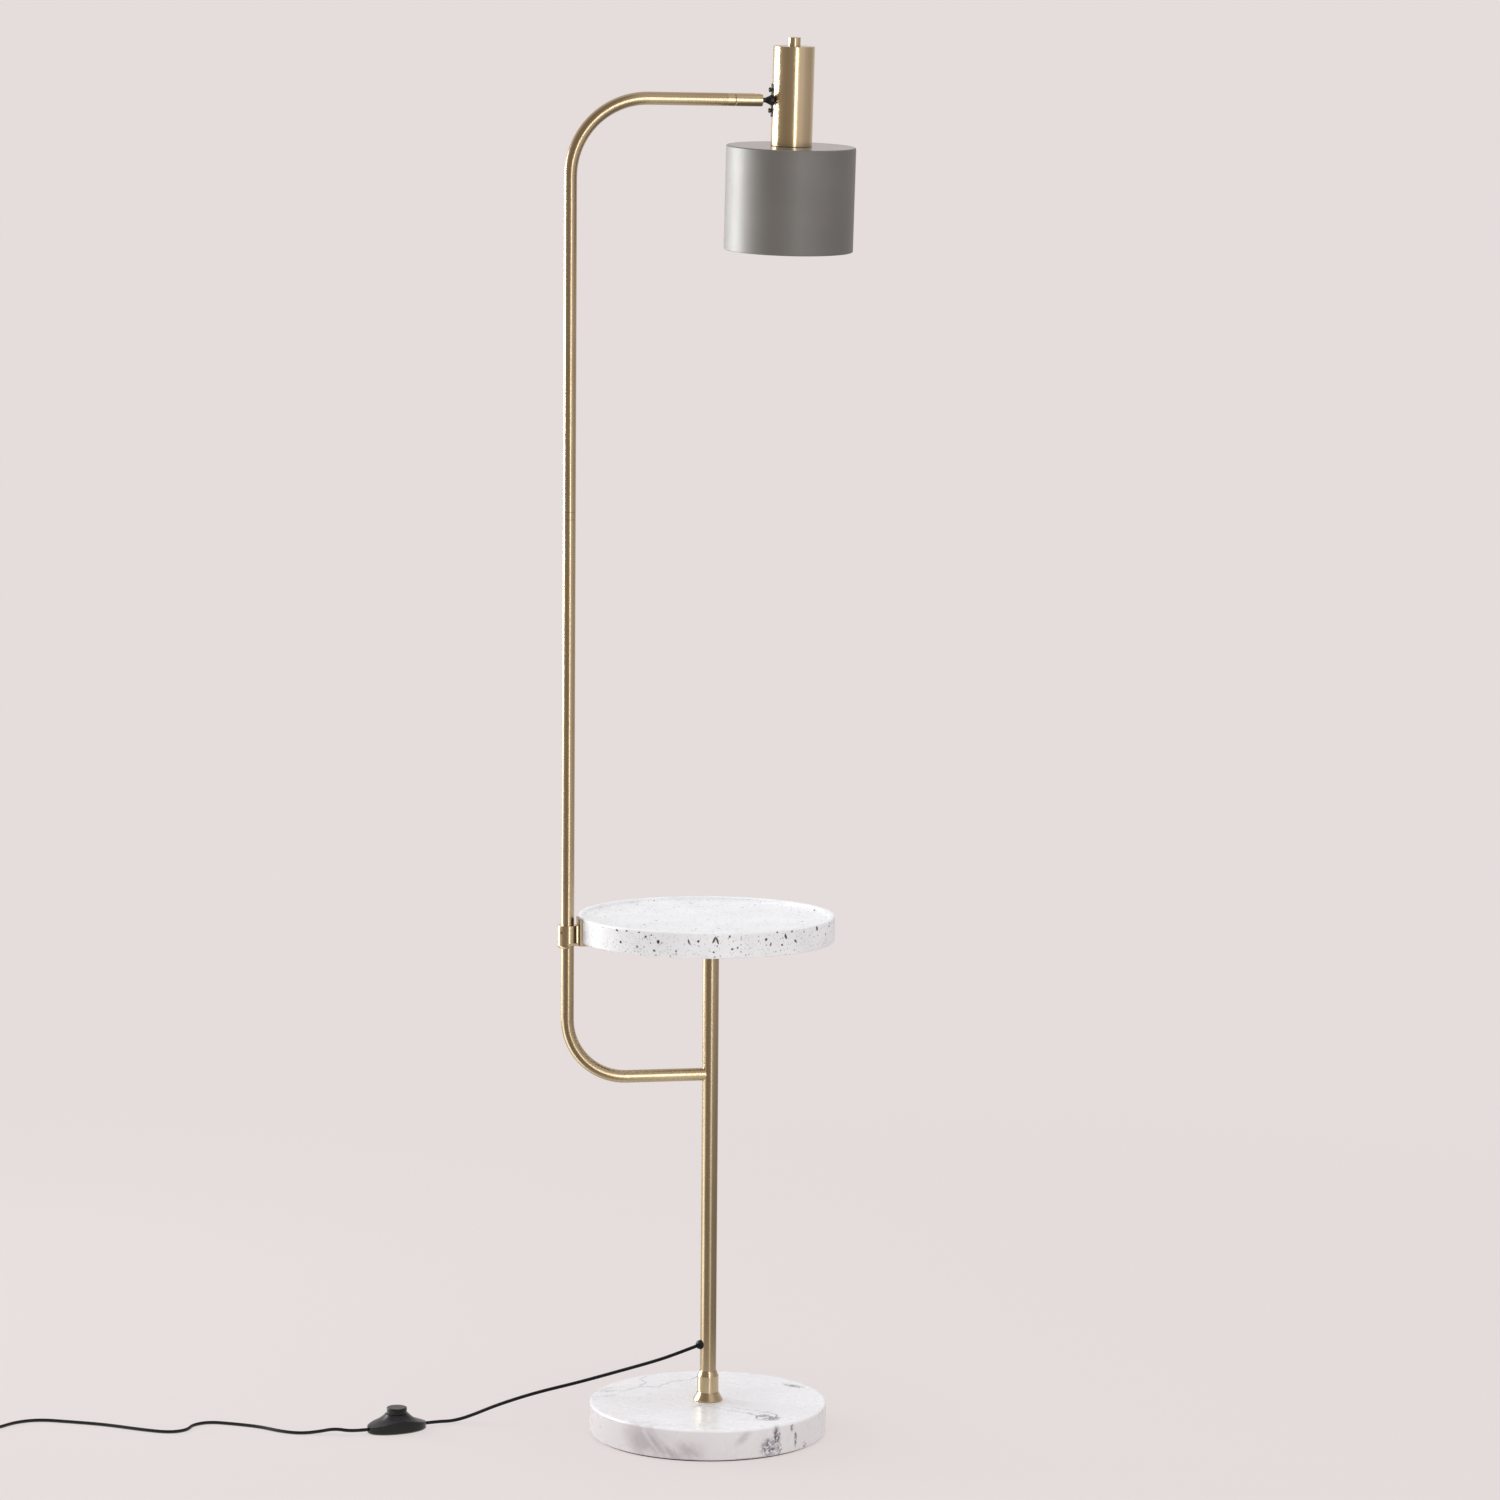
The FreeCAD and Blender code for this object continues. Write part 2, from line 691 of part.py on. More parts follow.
def make_swivel():
    edge = branch_radius - ring_chamfer
    keep("arm_ring", turned([
        (spindle_radius + running_gap, 0), (edge, 0), (branch_radius, ring_chamfer),
        (branch_radius, arm_ring_length - ring_chamfer), (edge, arm_ring_length),
        (spindle_radius + running_gap, arm_ring_length)], along_arm(arm_end_x), X_AXIS))

    head_start = arm_ring_length + turning_gap + housing_back + running_gap
    wire_bore = spindle_radius - spindle_wall
    keep("arm_spindle", turned([
        (wire_bore, -spindle_grip), (branch_bore - thread_gap, -spindle_grip),
        (branch_bore - thread_gap, 0), (spindle_radius, 0), (spindle_radius, head_start),
        (housing_bore - seat_gap, head_start), (housing_bore - seat_gap, head_start + spindle_head),
        (wire_bore, head_start + spindle_head)], along_arm(arm_end_x), X_AXIS))

    ball_at = housing_length - ball_setback
    cone_reach = math.sqrt(2) * (ball_radius + slip_gap)
    housing = turned([
        (spindle_radius + running_gap, 0), (edge, 0), (branch_radius, ring_chamfer),
        (branch_radius, housing_length, ring_chamfer), (mouth_radius, housing_length),
        (mouth_radius, ball_at + cone_reach - mouth_radius),
        (housing_bore, ball_at + cone_reach - housing_bore),
        (housing_bore, housing_back), (spindle_radius + running_gap, housing_back)],
        along_arm(housing_start), X_AXIS)
    half_slot = stem_neck_radius + seat_gap
    slot = rod(half_slot, along_arm(ball_x), along_arm(ball_x) + Z_AXIS * (branch_radius + 1))
    slot = slot.fuse(Part.makeBox(ball_setback + 1, 2 * half_slot, branch_radius + 1,
                                  along_arm(ball_x) - Y_AXIS * half_slot))
    keep("swivel_housing", lean(housing.cut(slot)))

    ball = Part.makeSphere(ball_radius + slip_gap, along_arm(ball_x))
    seat_end = ball_x - half_slot - slip_gap
    seat_start = seat_end - seat_length
    seat = pipe(housing_bore - thread_gap, seat_bore, along_arm(seat_start), along_arm(seat_end))
    keep("ball_seat", seat.cut(ball))

    spring_start = housing_start + housing_back + 2 * running_gap + spindle_head
    rise = (seat_start - spring_start) / 2 - disc_spring_leaf
    rim = housing_bore - seat_gap
    discs = []
    for at, way in ((spring_start, X_AXIS), (seat_start, -X_AXIS)):
        disc = turned([(seat_bore, rise), (rim, 0), (rim, disc_spring_leaf),
                       (seat_bore, rise + disc_spring_leaf)], along_arm(at), way)
        discs.append(disc)
    keep("seat_springs", Part.makeCompound(discs))


def lean(shape):
    """Turn a shape with the swivel, as the lamp head hangs in use."""
    return shape.rotate(along_arm(0), X_AXIS, head_lean)


def head_point(radius_x=0.0, y=0.0, z=0.0):
    """A point given from the head's own axis and the arm's height."""
    return V(head_x + radius_x, y, arm_height + z)


def head_turned(outline):
    return turned(outline, head_point())


def make_ball_stem():
    flange_x = head_x - head_radius - saddle_thickness
    washer_face = head_x - head_bore + stem_washer_thickness
    thread_end = washer_face + stem_nut_thickness + stem_past_nut
    flange_back = flange_x - ball_x - stem_flange_height
    saddle_reach = flange_x - ball_x + saddle_thickness
    neck_length = math.hypot(ball_setback, branch_radius) + seat_gap
    stem = turned([
        (0, 0), (stem_neck_radius, 0), (stem_neck_radius, neck_length),
        (stem_flange_radius - stem_flange_chamfer, flange_back - stem_flange_height, stem_cone_round),
        (stem_flange_radius, flange_back), (stem_flange_radius, saddle_reach),
        (0, saddle_reach)], along_arm(ball_x), X_AXIS)
    saddle_face = rod(head_radius + saddle_thickness, head_point(z=-head_below_arm),
                      head_point(z=head_above_arm))
    stem = stem.cut(saddle_face)
    stem = stem.fuse(Part.makeSphere(ball_radius, along_arm(ball_x)))
    stem = stem.fuse(rod(stem_thread_radius, along_arm(flange_x - 1), along_arm(thread_end)))
    stem = stem.cut(rod(wire_radius, along_arm(ball_x - ball_radius - 1), along_arm(thread_end + 1)))
    keep("ball_stem", lean(stem))

    inside = rod(head_bore, head_point(z=-head_below_arm), head_point(z=head_above_arm))
    washer = pipe(stem_washer_radius, stem_thread_radius + slip_gap,
                  along_arm(head_x - head_radius), along_arm(washer_face)).common(inside)
    keep("stem_washer", lean(washer))
    nut = placed(hexagon(stem_nut_flats, 0, stem_nut_thickness, stem_thread_radius + thread_gap),
                 along_arm(washer_face), X_AXIS)
    keep("stem_nut", lean(nut))

    half_width = saddle_width / 2
    outline = [V(0, -half_width, -saddle_height / 2), V(0, half_width, -saddle_height / 2),
               V(0, half_width, saddle_height / 2), V(0, -half_width, saddle_height / 2)]
    block = Part.Face(rounded_wire(outline, [saddle_end_round] * 4)).extrude(X_AXIS * head_radius)
    block.translate(along_arm(head_x - head_radius - saddle_thickness - 1))
    shell = pipe(head_radius + saddle_thickness, head_radius, head_point(z=-head_below_arm),
                 head_point(z=head_above_arm))
    hub = rod(saddle_hub_radius, along_arm(head_x - head_radius - saddle_thickness - 1), along_arm(head_x))
    saddle = shell.common(block.fuse(hub))
    saddle = saddle.cut(rod(stem_thread_radius + slip_gap, along_arm(flange_x - 1), along_arm(head_x)))
    screws = []
    for side in (-1, 1):
        seat = V(flange_x, 0, arm_height + side * saddle_screw_spacing / 2)
        saddle = saddle.cut(rod(m3_radius + slip_gap, seat - X_AXIS, seat + X_AXIS * head_radius))
        collar_face = seat - X_AXIS * saddle_screw_collar
        screw = pan_screw(collar_face, X_AXIS, m3_radius, saddle_screw_collar + m3_bite, m3_head,
                          m3_head_height)
        screws.append(lean(screw.fuse(rod(saddle_screw_collar_radius, collar_face, seat))))
    keep("saddle_plate", lean(saddle))
    keep("saddle_screws", Part.makeCompound(screws))


# ---------------------------------------------------------------- lamp head
def make_head_tube():
    tube = head_turned([
        (head_bore, shade_top), (head_radius - head_foot_chamfer, shade_top),
        (head_radius, shade_top + head_foot_chamfer), (head_radius, cap_bottom),
        (head_bore, cap_bottom)])
    outside = head_x - head_radius - 1
    tube = tube.cut(rod(stem_thread_radius + slip_gap, along_arm(outside), along_arm(head_x)))
    for side in (-1, 1):
        at = V(head_x, 0, arm_height + side * saddle_screw_spacing / 2)
        tube = tube.cut(rod(m3_radius + thread_gap, at - X_AXIS * (head_radius + 1), at))
    keep("head_tube", lean(tube))

    thread_bore = nipple_radius + thread_gap
    spigot = head_bore - thread_gap
    keep("head_cap", lean(head_turned([
        (thread_bore, cap_bottom), (spigot - cap_spigot_wall, cap_bottom),
        (spigot - cap_spigot_wall, cap_bottom - cap_spigot), (spigot, cap_bottom - cap_spigot),
        (spigot, cap_bottom), (head_radius, cap_bottom), (head_radius, head_above_arm, cap_round),
        (thread_bore, head_above_arm)])))
    finial_top = head_above_arm + finial_height
    keep("finial", lean(head_turned([
        (thread_bore, head_above_arm), (finial_radius, head_above_arm),
        (finial_radius, finial_top, finial_round), (0, finial_top), (0, finial_top - finial_roof),
        (thread_bore, finial_top - finial_roof)])))

    nipple_foot = -holder_top - nipple_grip
    nipple_top = finial_top - finial_roof - slip_gap
    keep("nipple", lean(head_turned([
        (nipple_bore, nipple_foot), (nipple_radius, nipple_foot), (nipple_radius, nipple_top),
        (nipple_bore, nipple_top)])))
    nuts = []
    for bottom in (cap_bottom - nipple_nut_thickness, -holder_top):
        nut = hexagon(nipple_nut_flats, bottom, nipple_nut_thickness, thread_bore)
        nut.translate(head_point())
        nuts.append(lean(nut))
    keep("nipple_nuts", Part.makeCompound(nuts))


def make_lamp_holder():
    roof = -holder_top
    cavity_roof = roof - holder_roof
    shelf = roof - nipple_grip
    bore = nipple_radius + thread_gap
    keep("lamp_holder", lean(head_turned([
        (bore, roof), (holder_radius - holder_crown_inset, roof, holder_crown_round),
        (holder_radius, roof - holder_crown, holder_crown_round), (holder_radius, shade_top),
        (skirt_radius, shade_top), (skirt_radius, skirt_bottom), (holder_bore, skirt_bottom),
        (holder_bore, cavity_roof), (nipple_bore, cavity_roof), (nipple_bore, shelf),
        (bore, shelf)])))
    shell_radius = holder_bore - thread_gap
    shell_bore = shell_radius - holder_shell_wall
    shell_foot = skirt_bottom + holder_shell_inset
    shell_top = cavity_roof - holder_shell_top_gap
    keep("holder_shell", lean(head_turned([
        (shell_bore, shell_foot), (shell_radius, shell_foot), (shell_radius, shell_top),
        (shell_bore, shell_top)])))
    contact_tip = cavity_roof - contact_height
    keep("holder_contact", lean(head_turned([
        (0, contact_tip), (contact_radius, contact_tip), (contact_foot_radius, cavity_roof),
        (0, cavity_roof)])))

    under = shade_top - shade_skin
    ring_foot = under - clamp_ring_height
    lip = under - clamp_ring_lip_height
    grip = clamp_ring_radius - clamp_ring_lip
    inside = skirt_radius + thread_gap
    ring = head_turned([
        (inside, ring_foot), (grip, ring_foot, clamp_ring_round), (grip, lip),
        (clamp_ring_radius, lip), (clamp_ring_radius, under), (inside, under)])
    for i in range(clamp_ring_notches):
        out = direction(360 / clamp_ring_notches * i) * (grip + notch_radius - notch_depth)
        notch = head_point(z=ring_foot - 1) + out
        ring = ring.cut(rod(notch_radius, notch, notch + Z_AXIS * (lip - ring_foot + 1)))
    keep("shade_ring", lean(ring))
    make_bulb(shell_bore - seat_gap, contact_tip)


def make_bulb(cap_radius, tip):
    """Bulb screwed up to the contact, so that its tip touches it."""
    cap_end = tip - bulb_cap_length
    shoulder = tip - bulb_tip_height
    bore = cap_radius - bulb_cap_wall
    step = tip - bulb_tip_bevel
    keep("bulb_cap", lean(head_turned([
        (bore, cap_end), (cap_radius, cap_end), (cap_radius, shoulder, bulb_cap_round),
        (bulb_tip_radius + bulb_tip_bevel, step), (bulb_tip_radius, tip), (0, tip),
        (0, tip - 2 * bulb_tip_bevel), (bulb_tip_radius, tip - 2 * bulb_tip_bevel),
        (bore, shoulder - bulb_tip_bevel)])))
    neck = bore - thread_gap
    top = cap_end + bulb_neck_grip
    bottom = cap_end - bulb_length
    glass = bulb_solid(top, bottom, neck, bulb_radius)
    inside = bulb_solid(top, bottom + bulb_wall, neck - bulb_wall, bulb_radius - bulb_wall)
    keep("bulb_glass", lean(glass.cut(inside)))


def bulb_solid(top, bottom, neck, radius):
    """Pear shape: a round end, and a flank that draws in to the neck."""
    centre = bottom + radius
    shoulder = centre + radius * math.sin(bulb_shoulder)
    wide = radius * math.cos(bulb_shoulder)
    draw_in = V(-math.sin(bulb_shoulder), 0, math.cos(bulb_shoulder))
    corner_reach = (wide - neck) / math.sin(bulb_shoulder)
    corner = V(wide, 0, shoulder) + draw_in * corner_reach
    flank_start = V(neck, 0, corner.z + corner_reach)
    profile = Part.Wire([
        Part.LineSegment(V(0, 0, top), V(neck, 0, top)).toShape(),
        Part.LineSegment(V(neck, 0, top), flank_start).toShape(),
        Part.Arc(flank_start, arc_middle(flank_start, corner, V(wide, 0, shoulder)),
                 V(wide, 0, shoulder)).toShape(),
        Part.Arc(V(wide, 0, shoulder), V(radius, 0, centre), V(0, 0, bottom)).toShape(),
        Part.LineSegment(V(0, 0, bottom), V(0, 0, top)).toShape()])
    solid = Part.Face(profile).revolve(V(0, 0, 0), Z_AXIS, 360)
    solid.translate(head_point())
    return solid


def make_shade():
    inner = shade_radius - shade_wall
    under = shade_top - shade_skin
    hole = skirt_radius + slip_gap
    hem_inner = inner - shade_hem
    hem_top = shade_bottom + shade_hem_height
    shade = head_turned([
        (hole, shade_top), (shade_radius, shade_top, shade_edge_round),
        (shade_radius, shade_bottom, shade_hem_round), (hem_inner, shade_bottom, shade_hem_round),
        (hem_inner, hem_top), (inner, hem_top + shade_hem_step), (inner, under), (hole, under)])
    keep("shade", lean(shade))


# ---------------------------------------------------------------- foot switch
def switch_place(shape):
    """Carry a shape from the switch's own frame to its place on the floor."""
    place = FreeCAD.Placement(V(switch_x, switch_y, 0), FreeCAD.Rotation(Z_AXIS, switch_azimuth))
    shape.Placement = place.multiply(shape.Placement)
    return shape


def oval_wire(half_length, half_width, height):
    ellipse = Part.Ellipse(V(0, 0, height), half_length, half_width)
    return Part.Wire(ellipse.toShape())


def casing(shrink):
    """Solid oval whose top is a bell, so that its wall is high beside the button and low at the ends."""
    length = switch_half_length - shrink
    width = switch_half_width - shrink
    chamfer = switch_foot_chamfer
    wall_foot = shrink + chamfer
    foot = Part.makeLoft([oval_wire(length - chamfer, width - chamfer, shrink),
                          oval_wire(length, width, wall_foot)], True, True)
    wall = Part.Face(oval_wire(length, width, wall_foot)).extrude(Z_AXIS * switch_hub_height)
    hub = button_radius + switch_hub_wall
    drop = shrink * bell_wall_share
    bell = turned([
        (0, 0), (switch_half_length, 0), (switch_half_length, switch_rim - drop),
        (switch_shoulder_radius, switch_shoulder_height - drop, switch_shoulder_round),
        (hub, switch_hub_height - drop), (0, switch_hub_height - drop)])
    return foot.fuse(wall).common(bell)


def make_switch():
    outer = casing(0)
    cavity = casing(casing_wall)
    well = button_radius + seat_gap
    shell = outer.cut(cavity)
    shell = shell.cut(rod(well, V(0, 0, switch_rim), V(0, 0, switch_height)))
    glands = []
    for side in (-1, 1):
        start = V(side * switch_half_length, 0, cord_entry_height)
        end = start - X_AXIS * side * gland_length
        shell = shell.cut(rod(gland_radius, start, end))
        glands.append(switch_place(pipe(gland_radius, wire_radius, start, end).common(outer)))
    tower = pipe(tower_radius, tower_bore, V(0, 0, casing_wall), V(0, 0, tower_height))
    reach = 2 * switch_half_length
    floor_half = Part.makeBox(2 * reach, 2 * reach, switch_split, V(-reach, -reach, 0))
    top_half = Part.makeBox(2 * reach, 2 * reach, reach, V(-reach, -reach, switch_split))
    base = shell.common(floor_half).fuse(tower)
    cover = shell.common(top_half)
    screws = []
    for side in (-1, 1):
        at = V(side * casing_screw_spacing / 2, 0, 0)
        post = rod(casing_post_radius, at, at + Z_AXIS * switch_height).common(outer)
        seat = at + Z_AXIS * (casing_screw_height + sink_depth)
        hole = rod(casing_screw_radius, seat, seat + Z_AXIS * (casing_screw_bite + casing_screw_clearance))
        hole = hole.fuse(rod(casing_screw_head + slip_gap, at, seat))
        base = base.fuse(post.common(floor_half)).cut(hole)
        cover = cover.fuse(post.common(top_half)).cut(hole)
        screws.append(switch_place(pan_screw(seat, Z_AXIS, casing_screw_radius - thread_gap,
                                             casing_screw_bite, casing_screw_head, casing_screw_height)))
    keep("switch_base", switch_place(base))
    keep("switch_cover", switch_place(cover))
    keep("switch_glands", Part.makeCompound(glands))
    keep("switch_screws", Part.makeCompound(screws))

    roof = switch_height - button_roof
    skirt = button_radius - casing_wall
    post_foot = switch_rim + button_travel
    lip_top = switch_hub_height - casing_wall * bell_wall_share - seat_gap
    lip_bottom = lip_top - button_lip_height
    button = turned([
        (0, switch_height), (button_radius, switch_height, button_round), (button_radius, lip_top),
        (button_radius + button_lip, lip_top), (button_radius + button_lip, lip_bottom),
        (skirt, lip_bottom), (skirt, roof), (button_post_radius, roof),
        (button_post_radius, post_foot), (0, post_foot)])
    keep("switch_button", switch_place(button))
    keep("switch_spring", switch_place(switch_spring(roof)))


def switch_spring(roof):
    """Return spring round the button's post, from the casing's floor to the button's roof."""
    bottom = casing_wall + spring_wire_radius + thread_gap
    top = roof - spring_wire_radius - thread_gap
    pitch = (top - bottom) / spring_turns
    helix = Part.makeHelix(pitch, top - bottom, spring_coil_radius)
    heading = V(0, 2 * math.pi * spring_coil_radius, pitch)
    circle = Part.Circle(X_AXIS * spring_coil_radius, heading, spring_wire_radius)
    spring = Part.Wire(helix).makePipeShell([Part.Wire(circle.toShape())], True, True)
    spring.translate(Z_AXIS * bottom)
    return spring


# ---------------------------------------------------------------- cord
def cord_radii(points):
    """Each corner's arc takes 0.45 of its shorter run."""
    radii = [0]
    for before, corner, after in zip(points, points[1:], points[2:]):
        turn = (corner - before).getAngle(after - corner)
        shorter = min((corner - before).Length, (after - corner).Length)
        radii.append(0.45 * shorter / math.tan(turn / 2))
    return radii + [0]


def cord_tube(name, points):
    """Free stretch of cord through the route's points."""
    radii = cord_radii(points)
    path = rounded_wire(points, radii, closed=False)
    tube = swept(path, cord_radius)
    expected = math.pi * cord_radius ** 2 * path.Length
    print(name, "length %.0f" % path.Length, "least radius %.1f" % min(radii[1:-1]),
          "volume ratio %.4f" % (tube.Volume / expected))
    keep(name, tube)


def switch_end(side):
    """Where the cord meets one end of the switch, and the way it leaves it."""
    way = direction(switch_azimuth) * side
    return V(switch_x, switch_y, cord_entry_height) + way * switch_half_length, way


# Corners of the cord's two free stretches, chosen by hand.
pole_route = [
    (-58, 2, 88), (-104, 24, 70.5), (-150, 42, 54.3), (-196, 56.5, 41), (-240, 71, 24.5),
    (-272, 84, 8.5), (-292, 87, 2.6)]
floor_route = [
    (-436, 59, 7), (-455, 64, 2.8), (-476, 63, 2), (-498, 76, 2), (-520, 101, 2), (-549, 119, 2),
    (-577, 133, 2), (-598, 123, 2), (-606, 100, 2), (-628, 93, 2), (-661, 113, 2), (-700, 142, 2),
    (-741, 162, 2), (-774, 177, 2), (-803, 171, 2), (-827, 146, 2)]


def make_cord():
    skin, out = grommet_frame()
    entry, way = switch_end(1)
    exit_point = skin + out * grommet_nose_height
    points = [exit_point, exit_point + out * cord_lead_in]
    points += [V(*corner) for corner in pole_route]
    points += [entry + way * cord_lead_in, entry]
    cord_tube("cord_to_switch", points)

    leave, way = switch_end(-1)
    join, tangent = coil_point(0)
    points = [leave, leave + way * cord_lead_out]
    points += [V(*corner) for corner in floor_route]
    points += [join - tangent * (cord_diameter + coil_lead), join - tangent * cord_diameter]
    cord_tube("cord_to_coil", points)


# ---------------------------------------------------------------- coil and plug
coil_floor = tie_thickness + thread_gap + cord_radius
coil_inner = coil_middle_radius - coil_pitch * coil_turns / 4
coil_outer = coil_middle_radius + coil_pitch * coil_turns / 4


def coil_place(turn):
    """Point of the coil's centre line: in along the floor, up a layer, and out again."""
    halfway = coil_turns / 2
    inward = min(turn, coil_turns - turn)
    radius = coil_outer - coil_pitch * inward
    climb = min(max((turn - halfway + 0.25) / 0.5, 0), 1)
    height = coil_floor + coil_layer * climb * climb * (3 - 2 * climb)
    angle = math.radians(coil_start_angle) - 2 * math.pi * turn
    return V(coil_x + radius * math.cos(angle), coil_y + radius * math.sin(angle), height)


def coil_point(turn):
    """Point and heading of the coil's centre line."""
    step = 1e-4
    before = coil_place(max(turn - step, 0))
    after = coil_place(min(turn + step, coil_turns))
    return coil_place(turn), (after - before).normalize()


def biarc(start, start_way, end, end_way):
    """Two arcs that leave and arrive along the given headings."""
    gap = end - start
    ways = start_way + end_way
    lead = gap.dot(ways)
    spread = 2 * (1 - start_way.dot(end_way))
    reach = (math.sqrt(lead * lead + spread * gap.dot(gap)) - lead) / spread
    first = start + start_way * reach
    second = end - end_way * reach
    joint = (first + second) * 0.5
    return [Part.Arc(start, arc_middle(start, first, joint), joint).toShape(),
            Part.Arc(joint, arc_middle(joint, second, end), end).toShape()]


def least_self_gap(points):
    """Least clear distance between stretches of the coil that are not neighbours."""
    apart = 3 * cord_diameter
    travelled = [0.0]
    for before, after in zip(points, points[1:]):
        travelled.append(travelled[-1] + (after - before).Length)
    least = min((points[i] - points[j]).Length for i in range(len(points))
                for j in range(i) if travelled[i] - travelled[j] > apart)
    return least - cord_diameter


def make_coil():
    start, start_way = coil_point(0)
    end, end_way = coil_point(coil_turns)
    edges = [Part.LineSegment(start - start_way * cord_diameter, start).toShape()]
    steps = round(coil_turns * 4)
    for i in range(steps):
        a, way_a = coil_point(coil_turns * i / steps)
        b, way_b = coil_point(coil_turns * (i + 1) / steps)
        edges += biarc(a, way_a, b, way_b)
    edges.append(Part.LineSegment(end, end + end_way * cord_diameter).toShape())
    path = Part.Wire(edges)
    coil = swept(path, cord_radius)
    samples = [coil_place(coil_turns * i / 600) for i in range(601)]
    print("cord_coil length %.0f" % path.Length, "least self gap %.2f" % least_self_gap(samples),
          "volume ratio %.4f" % (coil.Volume / (math.pi * cord_radius ** 2 * path.Length)))
    keep("cord_coil", coil)

    low = coil_inner - cord_radius - tie_slack
    high = coil_outer + cord_radius + tie_slack
    top = coil_floor + coil_layer + cord_radius + thread_gap
    keep("coil_tie", tie_band(low, high, tie_thickness, top))


def tie_band(low, high, bottom, top):
    """Flat strap round the bundle of turns, at the side away from the base."""
    def rectangle(grow, rounding):
        corners = [V(low - grow, 0, bottom - grow), V(high + grow, 0, bottom - grow),
                   V(high + grow, 0, top + grow), V(low - grow, 0, top + grow)]
        return Part.Face(rounded_wire(corners, [rounding] * 4)).extrude(Y_AXIS * tie_width)
    band = rectangle(tie_thickness, tie_round + tie_thickness).cut(rectangle(0, tie_round))
    band.translate(V(0, -tie_width / 2, 0))
    band.rotate(V(0, 0, 0), Z_AXIS, tie_azimuth)
    band.translate(V(coil_x, coil_y, 0))
    return band


def plug_relief(height):
    """Ribbed strain relief along +X, whose nose meets the cord."""
    nose = cord_radius + relief_nose_wall
    end = cord_radius + relief_end_wall
    root = plug_relief_length + relief_overlap
    relief = turned([(0, 0), (nose, 0), (end, relief_straight), (height - plug_edge_round, root),
                     (0, root)], V(0, 0, height), X_AXIS)
    for i in range(relief_groove_count):
        start = V(relief_first_groove + relief_groove_pitch * i, 0, height)
        stop = start + X_AXIS * relief_groove_width
        groove = pipe(plug_width, cord_radius + relief_core_wall, start, stop)
        relief = relief.cut(groove)
    return relief


def make_plug():
    end, way = coil_point(coil_turns)
    nose = end + way * cord_diameter
    turn = FreeCAD.Rotation(Z_AXIS, math.degrees(math.atan2(way.y, way.x)))
    place = FreeCAD.Placement(V(nose.x, nose.y, 0), turn)
    height = nose.z
    start = plug_relief_length
    face = start + plug_body_length
    half = plug_width / 2
    neck = half * plug_neck_share
    outline = [V(start, -neck, 0), V(face, -half, 0), V(face, half, 0), V(start, neck, 0)]
    body = Part.Face(rounded_wire(outline, [plug_corner_round] * 4)).extrude(Z_AXIS * 2 * height)
    flat_edges = [edge for edge in body.Edges if edge.BoundBox.ZLength < 1e-6]
    body = body.makeFillet(plug_edge_round, flat_edges).fuse(plug_relief(height))
    hole_at = V(face + blade_length - blade_hole_inset, -plug_width, height)
    hole = rod(blade_hole_radius, hole_at, hole_at + Y_AXIS * 2 * plug_width)
    blades = []
    for side in (-1, 1):
        corner = V(face - blade_root, side * blade_spacing / 2 - blade_thickness / 2,
                   height - blade_width / 2)
        blade = Part.makeBox(blade_length + blade_root, blade_thickness, blade_width, corner)
        body = body.cut(blade)
        blade = blade.cut(hole)
        blade.Placement = place
        blades.append(blade)
    body.Placement = place
    keep("plug_body", body)
    keep("plug_blades", Part.makeCompound(blades))


# ---------------------------------------------------------------- write the pieces
for make in (make_base, make_lower_pole, make_tall_pole, make_tray, make_tray_clamp, make_swivel,
             make_ball_stem, make_head_tube, make_lamp_holder, make_shade, make_switch, make_cord,
             make_coil, make_plug):
    make()

os.makedirs("parts", exist_ok=True)
for node, shape in nodes.items():
    shape.exportStep("parts/" + node + ".step")
print(len(nodes), "nodes")
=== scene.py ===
import bpy
import bmesh
import json
import math
from mathutils import Matrix, Vector


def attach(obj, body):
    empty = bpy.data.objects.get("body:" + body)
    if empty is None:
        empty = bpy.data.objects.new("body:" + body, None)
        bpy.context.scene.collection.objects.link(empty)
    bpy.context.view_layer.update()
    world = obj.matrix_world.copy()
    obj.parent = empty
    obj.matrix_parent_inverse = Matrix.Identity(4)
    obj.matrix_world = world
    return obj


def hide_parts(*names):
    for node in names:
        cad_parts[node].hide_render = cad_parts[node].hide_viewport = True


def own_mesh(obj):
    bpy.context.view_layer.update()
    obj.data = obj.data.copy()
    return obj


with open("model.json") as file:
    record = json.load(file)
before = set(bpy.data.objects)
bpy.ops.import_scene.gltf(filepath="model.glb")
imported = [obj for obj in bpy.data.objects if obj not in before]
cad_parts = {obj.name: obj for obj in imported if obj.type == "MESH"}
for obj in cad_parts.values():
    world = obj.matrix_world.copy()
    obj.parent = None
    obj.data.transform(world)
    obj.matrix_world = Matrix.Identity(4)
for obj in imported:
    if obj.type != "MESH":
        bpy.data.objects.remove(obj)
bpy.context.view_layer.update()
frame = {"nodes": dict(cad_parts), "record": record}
cad = frame["nodes"]
add_to_scene = bpy.context.scene.collection.objects.link
MM = 0.001

# ------------------------------------------------------------------ camera
picture_pixels = 1500
focal_pixels = 4425.45
sensor_width = 36.0
view_reach = 100.0
camera_at = Vector((-0.9793, -5.0328, 1.3662))
# Where the camera looks, in radians.
heading = 0.2007
dip = 0.10766
roll = 0.0082

forward = Vector((math.sin(heading) * math.cos(dip), math.cos(heading) * math.cos(dip),
                  -math.sin(dip)))
level = Vector((math.cos(heading), -math.sin(heading), 0.0))
upright = level.cross(forward)
picture_right = level * math.cos(roll) + upright * math.sin(roll)
picture_up = upright * math.cos(roll) - level * math.sin(roll)

